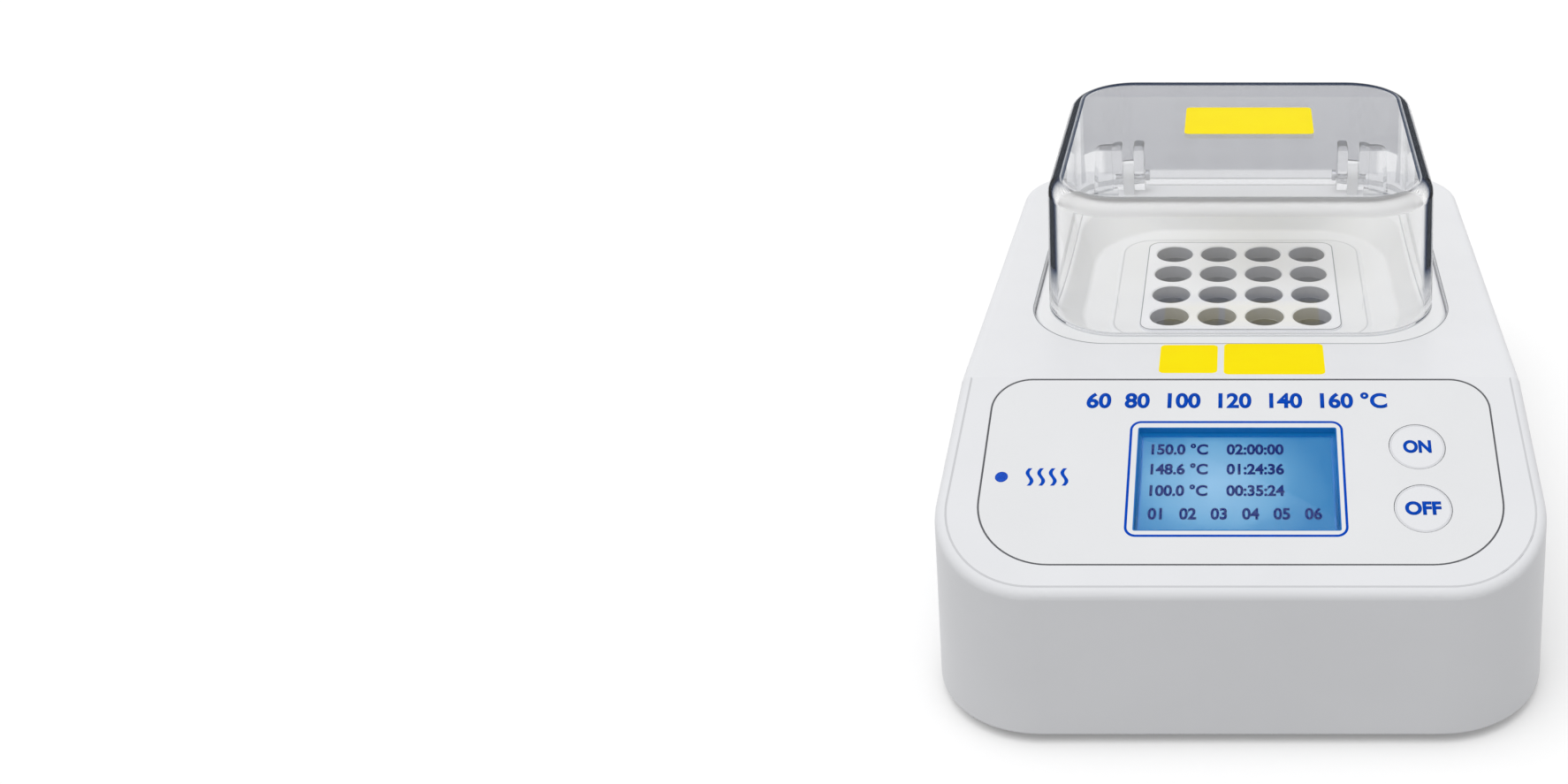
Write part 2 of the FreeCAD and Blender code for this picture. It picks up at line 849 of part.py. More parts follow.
def make_lid():
    outer = lid_solid(0, lid_foot_z, lid_edge_radius)
    hollow = lid_solid(lid_wall, lid_foot_z - overrun, lid_edge_radius - lid_wall)
    shell = outer.cut(hollow)
    parts = [make_ear(ear_inner_x), make_ear(outer_ear_x), make_web()]
    parts = [part.common(outer) for part in parts]
    parts += [mirrored(part) for part in parts]
    whole = joined([shell] + parts)

    swing = hinge_rise - ear_swing_gap
    reach = lid_half_width + overrun
    drop = hinge_rise + overrun
    corner = box(-reach, reach, hinge_y, hinge_y + drop, hinge_z - drop, hinge_z)
    swept = rod_across(swing, 2 * reach, -reach, hinge_y, hinge_z)
    cutters = [corner.cut(swept)]
    notch_top = hinge_z + lug_radius + 2 * ear_swing_gap
    notch = box(*lug_gap, hinge_y - ear_radius, hinge_y + drop, lid_foot_z - overrun, notch_top)
    cutters += [notch, mirrored(notch)]
    bore_length = pin_end_x() + seat_gap - ear_inner_x
    bore = rod_across(hinge_pin_radius + run_gap, bore_length, ear_inner_x, hinge_y, hinge_z)
    cutters += [bore, mirrored(bore)]
    return cut_from(whole, cutters)


def pin_end_x():
    return outer_ear_x + ear_thickness - hinge_pin_cover


def make_hinge_pin():
    start = ear_inner_x - seat_gap - hinge_head_length
    end = pin_end_x()
    head = rod_across(hinge_head_radius, hinge_head_length, start, hinge_y, hinge_z)
    return joined([head, rod_across(hinge_pin_radius, end - start, start, hinge_y, hinge_z)])


# Console
panel_top_w = -panel_sink
panel_low_w = -panel_sink - panel_thickness
board_top_w = -board_below_slope
board_low_w = board_top_w - board_thickness


def post_places():
    x = panel_half_width - post_side_inset
    high = display_board_top + post_end_inset / 2
    low = display_board_bottom - post_end_inset
    return [(sx * x, -along) for sx in (-1, 1) for along in (high, low)]


def display_outline(grow, w):
    middle = -display_middle
    half = display_half_height + grow
    return rounded(display_half_width + grow, middle - half, middle + half, display_corner, w, display_x)


def make_panel():
    plate = prism(panel_outline(0, panel_low_w), panel_thickness)
    posts = [rod(post_radius, panel_low_w - board_top_w, x, y, board_top_w) for x, y in post_places()]
    low = panel_low_w - overrun
    cutters = [prism(display_outline(0, low), panel_thickness + 2 * overrun)]
    for along in button_alongs:
        cutters.append(rod(button_radius + button_gap, 2 * overrun, button_x, -along, low))
    cutters.append(rod(lamp_radius + run_gap, 2 * overrun, lamp_x, -lamp_along, low))
    cutters += [rod(post_hole_radius, panel_screw_length, x, y, board_top_w) for x, y in post_places()]
    return tilted(cut_from(joined([plate] + posts), cutters))


def make_window():
    return tilted(prism(display_outline(window_margin, panel_low_w - window_thickness), window_thickness))


def make_lcd():
    top = panel_low_w - window_thickness
    body = prism(display_outline(module_margin, board_top_w), top - board_top_w)
    glass = prism(display_outline(-module_rim_margin, top - module_rim_depth), module_rim_depth + overrun)
    return tilted(body.cut(glass))


def make_display_board():
    depth = display_board_bottom - display_board_top
    middle = -(display_board_bottom + display_board_top) / 2
    plate = block_at(0, middle, board_low_w, 2 * display_board_half_width, depth, board_thickness)
    return tilted(pierced(plate, panel_screw_radius + seat_gap, post_places()))


def make_button(along):
    y = -along
    collar_top = panel_low_w - button_collar_gap
    collar_low = collar_top - button_collar_thickness
    stem_low = collar_low - button_stem_length
    cap = rod(button_radius, panel_top_w - collar_low, button_x, y, collar_low)
    cap = cap.makeFillet(seat_gap, edges_near_height(cap, panel_top_w, run_gap))
    collar = rod(button_collar_radius, button_collar_thickness, button_x, y, collar_low)
    stem = rod(button_stem_radius, button_stem_length, button_x, y, stem_low)
    plunger_low = board_top_w + switch_height - plunger_reach
    plunger = rod(plunger_radius, stem_low - plunger_low, button_x, y, plunger_low)
    return tilted(joined([cap, collar, stem, plunger]))


def make_button_switch(along):
    body = block_at(button_x, -along, board_top_w, switch_width, switch_width, switch_height)
    depth = plunger_reach + button_travel + seat_gap
    low = board_top_w + switch_height - depth
    return tilted(body.cut(rod(plunger_radius + run_gap, depth + overrun, button_x, -along, low)))


def make_lamp():
    collar_low = panel_low_w - lamp_collar_thickness
    collar = rod(lamp_collar_radius, lamp_collar_thickness, lamp_x, -lamp_along, collar_low)
    low = board_top_w + led_height
    return tilted(joined([collar, rod(lamp_radius, panel_top_w - low, lamp_x, -lamp_along, low)]))


def make_lamp_led():
    return tilted(block_at(lamp_x, -lamp_along, board_top_w, led_width, led_width, led_height))


def make_panel_screw(x, y):
    return tilted(make_screw(panel_screw_radius, panel_screw_length, x, y, board_low_w, (0, 0, 1)))


# Control board
def pillar_places():
    x = control_half_width - pillar_inset
    ends = (control_front_y + pillar_inset, control_back_y - pillar_inset)
    return [(sx * x, y) for sx in (-1, 1) for y in ends]


def make_control_board():
    middle = (control_front_y + control_back_y) / 2
    plate = block_at(0, middle, board_z, 2 * control_half_width, control_depth, board_thickness)
    return pierced(plate, board_screw_radius + run_gap, pillar_places())


def make_pillar(x, y):
    bore = rod(pillar_bore_radius, pillar_height + 2 * overrun, x, y, cover_z - overrun)
    return rod(pillar_radius, pillar_height, x, y, cover_z).cut(bore)


def transformer_y():
    return control_back_y - transformer_from_rear


def make_core():
    y = transformer_y()
    core = block_at(transformer_x, y, board_top_z, core_width, core_depth, core_height)
    window_z = board_top_z + (core_height - core_window_height) / 2
    for side in (-1, 1):
        x = transformer_x + side * (core_leg + core_window_width / 2)
        core = core.cut(block_at(x, y, window_z, core_window_width, 2 * core_depth, core_window_height))
    return core


def make_coil():
    y = transformer_y()
    half_height = core_window_height / 2 - seat_gap
    middle = board_top_z + core_height / 2
    half_width = core_leg + core_window_width - seat_gap
    half_depth = core_depth / 2 + coil_overhang
    low = middle - half_height
    wire = rounded(half_width, y - half_depth, y + half_depth, core_leg / 2, low, transformer_x)
    hole_width = 2 * (core_leg + seat_gap)
    hole_depth = core_depth + 2 * seat_gap
    hole = block_at(transformer_x, y, board_top_z, hole_width, hole_depth, core_height)
    return prism(wire, 2 * half_height).cut(hole)


def make_sink():
    y = control_back_y - sink_from_rear
    base = block_at(sink_x, y - sink_base / 2, board_top_z, sink_width, sink_base, sink_height)
    fins = []
    step = (sink_width - sink_fin_thickness) / (sink_fin_count - 1)
    fin_depth = sink_depth - sink_base / 2
    for i in range(sink_fin_count):
        x = sink_x + step * (i - (sink_fin_count - 1) / 2)
        fin_y = y - sink_base / 2 + fin_depth / 2
        fins.append(block_at(x, fin_y, board_top_z, sink_fin_thickness, fin_depth, sink_height))
    return joined([base] + fins)


def make_triac():
    y = control_back_y - sink_from_rear - sink_base - triac_thickness / 2
    z = board_top_z + triac_lead_length
    body = block_at(sink_x, y, z, triac_width, triac_thickness, triac_height)
    length = triac_lead_length + triac_lead_radius
    for k in (-1, 0, 1):
        body = body.fuse(rod(triac_lead_radius, length, sink_x + k * triac_lead_pitch, y, board_top_z))
    return body


def make_relay():
    y = control_back_y - relay_from_rear
    body = block_at(relay_x, y, board_top_z, relay_width, relay_depth, relay_height)
    return body.makeFillet(seat_gap, edges_near_height(body, board_top_z + relay_height, run_gap))


def make_capacitor(i):
    x = cap_x + cap_pitch * i
    y = control_front_y + cap_from_front
    can = rod(cap_radius, cap_height, x, y, board_top_z)
    return can.makeFillet(seat_gap, edges_near_height(can, board_top_z + cap_height, run_gap))


def make_buzzer():
    y = control_front_y + buzzer_from_front
    port = rod(buzzer_port_radius, buzzer_height, buzzer_x, y, board_top_z + buzzer_height / 2)
    return rod(buzzer_radius, buzzer_height, buzzer_x, y, board_top_z).cut(port)


def make_cell():
    y = control_front_y + cell_from_front
    return rod(cell_radius, cell_thickness, cell_x, y, board_top_z + cell_holder_floor)


def make_cell_holder():
    y = control_front_y + cell_from_front
    seat_radius = cell_radius + seat_gap
    height = cell_holder_floor + cell_thickness / 2
    outer = rod(seat_radius + cell_holder_wall, height, cell_x, y, board_top_z)
    return outer.cut(rod(seat_radius, cell_thickness, cell_x, y, board_top_z + cell_holder_floor))


def make_terminals():
    y = control_back_y - terminal_from_rear
    length = terminal_count * terminal_pitch
    body = block_at(terminal_x, y, board_top_z, length, terminal_depth, terminal_height)
    hole_z = board_top_z + terminal_height - terminal_hole_depth
    wells = []
    for i in range(terminal_count):
        x = terminal_x + terminal_pitch * (i - (terminal_count - 1) / 2)
        wells.append(rod(terminal_hole_radius, terminal_hole_depth + overrun, x, y, hole_z))
    return cut_from(body, wells)


# Ribbon cable
def ribbon_start():
    """The middle of the upper connector's lower face, and the way down out of it."""
    turn = FreeCAD.Rotation(vector(1, 0, 0), slope_angle)
    connector_foot = vector(0, -ribbon_along, board_low_w - connector_height)
    start = vector(0, fold_y, deck_z) + turn.multVec(connector_foot)
    return start, turn.multVec(vector(0, 0, -1))


def ribbon_end_y():
    start, down = ribbon_start()
    return start.y + down.y * ribbon_drop / abs(down.z) * 2


def make_ribbon():
    start, down = ribbon_start()
    end_y = ribbon_end_y()
    reach = (end_y - start.y) / down.y
    corner = start + down * reach
    end = vector(0, end_y, board_top_z + connector_height)
    back = (start - corner).normalize()
    ahead = (end - corner).normalize()
    half = back.getAngle(ahead) / 2
    tangent = reach / 2
    radius = tangent * math.tan(half)
    middle = corner + (back + ahead).normalize() * (radius / math.sin(half) - radius)
    path = Part.Wire(
        [
            Part.LineSegment(start, corner + back * tangent).toShape(),
            Part.Arc(corner + back * tangent, middle, corner + ahead * tangent).toShape(),
            Part.LineSegment(corner + ahead * tangent, end).toShape(),
        ]
    )
    across = down.cross(vector(1, 0, 0)).normalize() * (ribbon_thickness / 2)
    side = vector(ribbon_width / 2, 0, 0)
    corners = [start - side - across, start + side - across, start + side + across, start - side + across]
    profile = Part.makePolygon(corners + corners[:1])
    ribbon = path.makePipeShell([profile], True, True)
    ribbon.translate(vector(ribbon_x, 0, 0))
    return ribbon


def make_connectors():
    size = (ribbon_width + 2 * connector_margin, connector_depth, connector_height)
    upper = block_at(ribbon_x, -ribbon_along, board_low_w - connector_height, *size)
    lower = block_at(ribbon_x, ribbon_end_y(), board_top_z, *size)
    return [tilted(upper), lower]


# Mains inlet: the socket above, the fuse drawer under it
socket_middle = drawer_height / 2 + slide_gap + inlet_wall / 2
drawer_middle = socket_middle - socket_height / 2 - inlet_wall - slide_gap - drawer_height / 2
inlet_face_y = pocket_floor_y + inlet_flange_thickness
inlet_half_width = socket_width / 2 + inlet_wall
drawer_z = pocket_z + drawer_middle - drawer_height / 2
fuse_y = inlet_face_y - drawer_depth / 3 - fuse_radius / 2
fuse_z = drawer_z + drawer_wall + fuse_radius


def inlet_body_block(grow, y_low, y_high):
    low = pocket_z + drawer_middle - drawer_height / 2 - slide_gap - inlet_wall - grow
    high = pocket_z + socket_middle + socket_height / 2 + inlet_wall + grow
    half = inlet_half_width + grow
    return box(inlet_x - half, inlet_x + half, y_low, y_high, low, high)


def socket_outline():
    """The socket's mouth, its two upper corners bevelled."""
    half = socket_width / 2
    low = socket_middle - socket_height / 2
    high = socket_middle + socket_height / 2
    right = [(half, low), (half, high - socket_bevel), (half - socket_bevel, high)]
    left = [(-x, y) for x, y in reversed(right)]
    return outline([(inlet_x + x, y) for x, y in right + left], [0] * len(right + left))


def make_inlet():
    half_height = inlet_flange_half_height
    flange = rounded(inlet_flange_half_width, -half_height, half_height, inlet_flange_radius, 0, inlet_x)
    flange = on_back_wall(prism(flange, inlet_flange_thickness), pocket_floor_y)
    rear_y = inlet_face_y - inlet_body_depth
    body = inlet_body_block(0, rear_y, pocket_floor_y + inlet_flange_thickness / 2)
    cutters = [on_back_wall(prism(socket_outline(), socket_depth + overrun), inlet_face_y - socket_depth)]
    slot_width = drawer_width + 2 * slide_gap
    slot_depth = drawer_depth + slide_gap + overrun
    slot_y = inlet_face_y + overrun - slot_depth / 2
    slot_z = pocket_z + drawer_middle - drawer_height / 2 - slide_gap
    slot_height = drawer_height + 2 * slide_gap
    cutters.append(block_at(inlet_x, slot_y, slot_z, slot_width, slot_depth, slot_height))
    cutters += [pin_block(k, run_gap, rear_y - overrun, inlet_face_y) for k in (-1, 0, 1)]
    for side in (-1, 1):
        x = inlet_x + side * inlet_screw_spread
        through = inlet_flange_thickness + 2 * overrun
        cutters.append(rod_back(screw_radius + seat_gap, through, x, pocket_floor_y - overrun, pocket_z))
    return cut_from(joined([flange, body]), cutters)


def pin_block(k, grow, y_low, y_high):
    """One blade of the inlet: k is -1 or 1 for the outer two, and 0 for the raised one between."""
    x = inlet_x + k * pin_spread
    z = pocket_z + socket_middle + (pin_offset if k == 0 else -pin_offset)
    half_width = pin_width / 2 + grow
    half_height = pin_height / 2 + grow
    return box(x - half_width, x + half_width, y_low, y_high, z - half_height, z + half_height)


def make_pin(k):
    root = inlet_face_y - socket_depth
    return pin_block(k, 0, inlet_face_y - inlet_body_depth - pin_tail, root + pin_length)


def make_drawer():
    middle = inlet_face_y - drawer_depth / 2
    body = block_at(inlet_x, middle, drawer_z, drawer_width, drawer_depth, drawer_height)
    bed_z = drawer_z + drawer_wall
    bed_width = fuse_length + 2 * run_gap
    bed_depth = 2 * (fuse_radius + slide_gap)
    bed = block_at(inlet_x, fuse_y, bed_z, bed_width, bed_depth, drawer_height)
    spare_low = inlet_face_y - drawer_depth + drawer_wall
    spare_high = fuse_y - fuse_radius - 2 * drawer_wall
    spare_y = (spare_low + spare_high) / 2
    spare_width = drawer_width - 2 * drawer_wall
    spare = block_at(inlet_x, spare_y, bed_z, spare_width, spare_high - spare_low, drawer_height)
    grip_depth = 2 * drawer_grip_depth
    grip = block_at(inlet_x, inlet_face_y, drawer_z, drawer_width / 2, grip_depth, drawer_grip_height)
    return cut_from(body, [bed, spare, grip])


def make_fuse():
    span = fuse_length - 2 * fuse_cap_length
    return rod_across(fuse_radius - fuse_glass_inset, span, inlet_x - span / 2, fuse_y, fuse_z)


def make_fuse_cap(side):
    start = inlet_x + side * (fuse_length - fuse_cap_length) / 2 - fuse_cap_length / 2
    return rod_across(fuse_radius, fuse_cap_length, start, fuse_y, fuse_z)


# Mains switch
pivot_y = pocket_floor_y + switch_frame_thickness - rocker_pivot_depth


def switch_body_block(grow, y_low, y_high):
    half_width = switch_body_half_width + grow
    half_height = switch_body_half_height + grow
    x_low = rocker_x - half_width
    return box(x_low, x_low + 2 * half_width, y_low, y_high, pocket_z - half_height, pocket_z + half_height)


def make_switch():
    frame_y = pocket_floor_y + switch_frame_thickness / 2
    frame_z = pocket_z - switch_frame_half_height
    frame_size = (2 * switch_frame_half_width, switch_frame_thickness, 2 * switch_frame_half_height)
    frame = block_at(rocker_x, frame_y, frame_z, *frame_size)
    low = inlet_face_y - switch_body_depth
    body = switch_body_block(0, low, frame_y)
    hollow_low = low + switch_body_floor
    hollow_depth = inlet_face_y + overrun - hollow_low
    half_width = rocker_half_width + rocker_side_gap
    half_height = rocker_half_height + rocker_end_gap
    hollow_size = (2 * half_width, hollow_depth, 2 * half_height)
    hollow = block_at(rocker_x, hollow_low + hollow_depth / 2, pocket_z - half_height, *hollow_size)
    journal = switch_body_half_width + overrun
    pivot = rod_across(rocker_pivot_radius + run_gap, 2 * journal, rocker_x - journal, pivot_y, pocket_z)
    pivot = pivot.common(switch_body_block(0, low, inlet_face_y))
    return cut_from(joined([frame, body]), [hollow, pivot])


def make_rocker():
    points = [
        (rocker_face, rocker_half_height, seat_gap),
        (rocker_face - rocker_dip, 0, 0),
        (rocker_face, -rocker_half_height, seat_gap),
        (-rocker_back / 2, -rocker_half_height + rocker_back, seat_gap),
        (-rocker_back, 0, 0),
        (-rocker_back / 2, rocker_half_height - rocker_back, seat_gap),
    ]
    body = side_profile(points[::-1], -rocker_half_width, rocker_half_width)
    end = switch_body_half_width
    pivot = rod_across(rocker_pivot_radius, 2 * end, -end, 0, 0)
    rocker = joined([body, pivot])
    rocker.rotate(vector(0, 0, 0), vector(1, 0, 0), rocker_tilt)
    rocker.translate(vector(rocker_x, pivot_y, pocket_z))
    return rocker


def make_switch_tab(i):
    z = pocket_z + switch_tab_pitch * (i - (switch_tab_count - 1) / 2) - tab_thickness / 2
    y = inlet_face_y - switch_body_depth - tab_length / 2
    return block_at(rocker_x, y, z, tab_width, tab_length, tab_thickness)


def block_screw(x, y):
    length = block_z + block_screw_bite - base_z
    return make_screw(block_screw_radius, length, x, y, base_z, (0, 0, 1))


def cover_screw(x, y):
    return make_screw(screw_radius, screw_length, x, y, base_z, (0, 0, 1))


def board_screw(x, y):
    return make_screw(board_screw_radius, board_screw_length, x, y, board_top_z, (0, 0, -1))


def inlet_screw(side):
    x = inlet_x + side * inlet_screw_spread
    return make_screw(screw_radius, screw_length, x, inlet_face_y, pocket_z, (0, -1, 0))


def pressed_plate(z, thickness):
    """A plate under the block, pierced for the block's screws."""
    return pierced(block_slab(z, thickness), block_screw_radius + seat_gap, spacer_places())


def main():
    hinge_pin = make_hinge_pin()
    nodes = {
        "housing": make_housing(),
        "well_tray": make_tray(),
        "well_plate": make_well_plate(),
        "heating_block": make_block(),
        "heater_mat": pressed_plate(block_z - mat_thickness, mat_thickness),
        "clamp_plate": pressed_plate(clamp_z, clamp_thickness),
        "block_spacers": group([make_spacer(x, y) for x, y in spacer_places()]),
        "block_screws": group([block_screw(x, y) for x, y in spacer_places()]),
        "block_jacket": make_jacket(),
        "base_insulation": make_insulation(),
        "temperature_probe": make_probe(),
        "thermal_cutout": make_cutout(),
        "bottom_cover": make_cover(),
        "bottom_screws": group([cover_screw(x, y) for x, y in boss_places()]),
        "rubber_feet": group([make_foot(x, y) for x, y in foot_places()]),
        "lid": make_lid(),
        "hinge_pins": group([hinge_pin, mirrored(hinge_pin)]),
        "control_panel": make_panel(),
        "display_window": make_window(),
        "lcd_module": make_lcd(),
        "display_board": make_display_board(),
        "on_button": make_button(button_alongs[0]),
        "off_button": make_button(button_alongs[1]),
        "button_switches": group([make_button_switch(along) for along in button_alongs]),
        "heating_lamp": make_lamp(),
        "lamp_led": make_lamp_led(),
        "panel_screws": group([make_panel_screw(x, y) for x, y in post_places()]),
        "control_board": make_control_board(),
        "board_pillars": group([make_pillar(x, y) for x, y in pillar_places()]),
        "board_screws": group([board_screw(x, y) for x, y in pillar_places()]),
        "transformer_core": make_core(),
        "transformer_coil": make_coil(),
        "heat_sink": make_sink(),
        "power_triac": make_triac(),
        "relay": make_relay(),
        "capacitors": group([make_capacitor(i) for i in range(cap_count)]),
        "buzzer": make_buzzer(),
        "clock_cell": make_cell(),
        "cell_holder": make_cell_holder(),
        "terminal_block": make_terminals(),
        "ribbon_cable": make_ribbon(),
        "ribbon_connectors": group(make_connectors()),
        "power_inlet": make_inlet(),
        "inlet_pins": group([make_pin(k) for k in (-1, 0, 1)]),
        "inlet_screws": group([inlet_screw(side) for side in (-1, 1)]),
        "fuse_drawer": make_drawer(),
        "fuse": make_fuse(),
        "fuse_caps": group([make_fuse_cap(side) for side in (-1, 1)]),
        "power_switch": make_switch(),
        "switch_rocker": make_rocker(),
        "switch_tabs": group([make_switch_tab(i) for i in range(switch_tab_count)]),
    }
    os.makedirs("parts", exist_ok=True)
    for name, shape in nodes.items():
        shape.exportStep(os.path.join("parts", name + ".step"))
        solids = len(shape.Solids)
        print(f"{name}: {solids} solid, valid {shape.isValid()}, {shape.Volume:.0f} mm3")


main()
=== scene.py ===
import bmesh
import bpy
import json
import math
from mathutils import Matrix, Vector
from mathutils.bvhtree import BVHTree


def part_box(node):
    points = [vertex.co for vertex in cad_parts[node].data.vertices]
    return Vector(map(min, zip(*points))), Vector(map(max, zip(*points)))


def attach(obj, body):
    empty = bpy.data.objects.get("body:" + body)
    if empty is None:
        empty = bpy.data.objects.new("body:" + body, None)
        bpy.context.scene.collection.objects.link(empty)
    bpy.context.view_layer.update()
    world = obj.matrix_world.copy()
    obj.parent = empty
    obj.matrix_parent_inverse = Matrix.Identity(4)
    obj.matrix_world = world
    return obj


# Bench heater with sixteen vial wells under a clear hinged lid: the finish of each piece, the
# printed marks, the lit display, the stage and the camera. Metres, in the frame's own axes.

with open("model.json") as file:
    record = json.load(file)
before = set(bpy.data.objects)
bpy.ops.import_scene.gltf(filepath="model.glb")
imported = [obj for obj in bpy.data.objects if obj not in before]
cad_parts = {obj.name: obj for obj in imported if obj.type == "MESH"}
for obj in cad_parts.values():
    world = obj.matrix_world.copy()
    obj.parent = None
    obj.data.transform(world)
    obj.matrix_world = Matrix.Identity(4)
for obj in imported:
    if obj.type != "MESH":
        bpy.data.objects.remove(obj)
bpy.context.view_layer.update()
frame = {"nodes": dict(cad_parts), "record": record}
slotOf = {part["node"]: part["material_slot"] for part in frame["record"]["subparts"]}
print("frame loaded with", len(frame["nodes"]), "nodes")


# Colours and node helpers
fullWhite = (1.0, 1.0, 1.0, 1.0)


def tone(red, green, blue):
    # a screen colour, 0 to 255, as light
    shares = [channel / 255 for channel in (red, green, blue)]
    light = [s / 12.92 if s <= 0.04045 else ((s + 0.055) / 1.055) ** 2.4 for s in shares]
    return (*light, 1.0)


def startMaterial(name):
    material = bpy.data.materials.new(name)
    material.use_nodes = True
    return material, material.node_tree


def shaderOf(tree):
    return tree.nodes["Principled BSDF"].inputs


def feed(tree, socketName, source):
    tree.links.new(source, shaderOf(tree)[socketName])


def onObject(tree, stretch=(1, 1, 1), shift=(0, 0, 0)):
    place = tree.nodes.new("ShaderNodeTexCoord")
    mapping = tree.nodes.new("ShaderNodeMapping")
    mapping.inputs["Scale"].default_value = stretch
    mapping.inputs["Location"].default_value = shift
    tree.links.new(place.outputs["Object"], mapping.inputs["Vector"])
    return mapping.outputs["Vector"]


def axesOf(tree, vector):
    split = tree.nodes.new("ShaderNodeSeparateXYZ")
    tree.links.new(vector, split.inputs["Vector"])
    return split.outputs


def outwardAxes(tree):
    # which way the surface faces, in the piece's own axes
    return axesOf(tree, tree.nodes.new("ShaderNodeTexCoord").outputs["Normal"])


def noiseOn(tree, place, scale, detail=3.0):
    noise = tree.nodes.new("ShaderNodeTexNoise")
    noise.inputs["Scale"].default_value = scale
    noise.inputs["Detail"].default_value = detail
    tree.links.new(place, noise.inputs["Vector"])
    return noise.outputs["Fac"]


def waveOn(tree, place, scale, direction, distortion=0.0):
    wave = tree.nodes.new("ShaderNodeTexWave")
    wave.bands_direction = direction
    wave.inputs["Scale"].default_value = scale
    wave.inputs["Distortion"].default_value = distortion
    tree.links.new(place, wave.inputs["Vector"])
    return wave.outputs["Fac"]


def ranged(tree, source, low, high, fromLow=0.3, fromHigh=0.7):
    # the usual from values are where a noise's middle lies
    span = tree.nodes.new("ShaderNodeMapRange")
    span.inputs["From Min"].default_value = fromLow
    span.inputs["From Max"].default_value = fromHigh
    span.inputs["To Min"].default_value = low
    span.inputs["To Max"].default_value = high
    tree.links.new(source, span.inputs["Value"])
    return span.outputs["Result"]


def rises(tree, source, start, end):
    return ranged(tree, source, 0.0, 1.0, start, end)


def falls(tree, source, start, end):
    return ranged(tree, source, 1.0, 0.0, start, end)


def mixed(tree, share, first, second):
    # two colours, or two colour sockets, mixed by a share
    mix = tree.nodes.new("ShaderNodeMix")
    mix.data_type = "RGBA"
    tree.links.new(share, mix.inputs[0])
    for socket, colour in ((mix.inputs[6], first), (mix.inputs[7], second)):
        if isinstance(colour, tuple):
            socket.default_value = colour
        else:
            tree.links.new(colour, socket)
    return mix.outputs[2]


def combined(tree, operation, first, *others):
    # one operation run through several sockets or numbers
    result = first
    for other in others:
        maths = tree.nodes.new("ShaderNodeMath")
        maths.operation = operation
        for socket, value in zip(maths.inputs, (result, other)):
            if isinstance(value, (int, float)):
                socket.default_value = value
            else:
                tree.links.new(value, socket)
        result = maths.outputs["Value"]
    return result


def unsigned(tree, source):
    return combined(tree, "ABSOLUTE", source, 0.0)


def opposite(tree, source):
    return combined(tree, "SUBTRACT", 1.0, source)


def relief(tree, height, depth):
    bump = tree.nodes.new("ShaderNodeBump")
    bump.inputs["Strength"].default_value = 1.0
    bump.inputs["Distance"].default_value = depth
    tree.links.new(height, bump.inputs["Height"])
    feed(tree, "Normal", bump.outputs["Normal"])


def joinShaders(tree, share, first, second):
    # the material shows the first shader, and the second one where the share is 1
    mix = tree.nodes.new("ShaderNodeMixShader")
    tree.links.new(share, mix.inputs[0])
    tree.links.new(first, mix.inputs[1])
    tree.links.new(second, mix.inputs[2])
    tree.links.new(mix.outputs["Shader"], tree.nodes["Material Output"].inputs["Surface"])


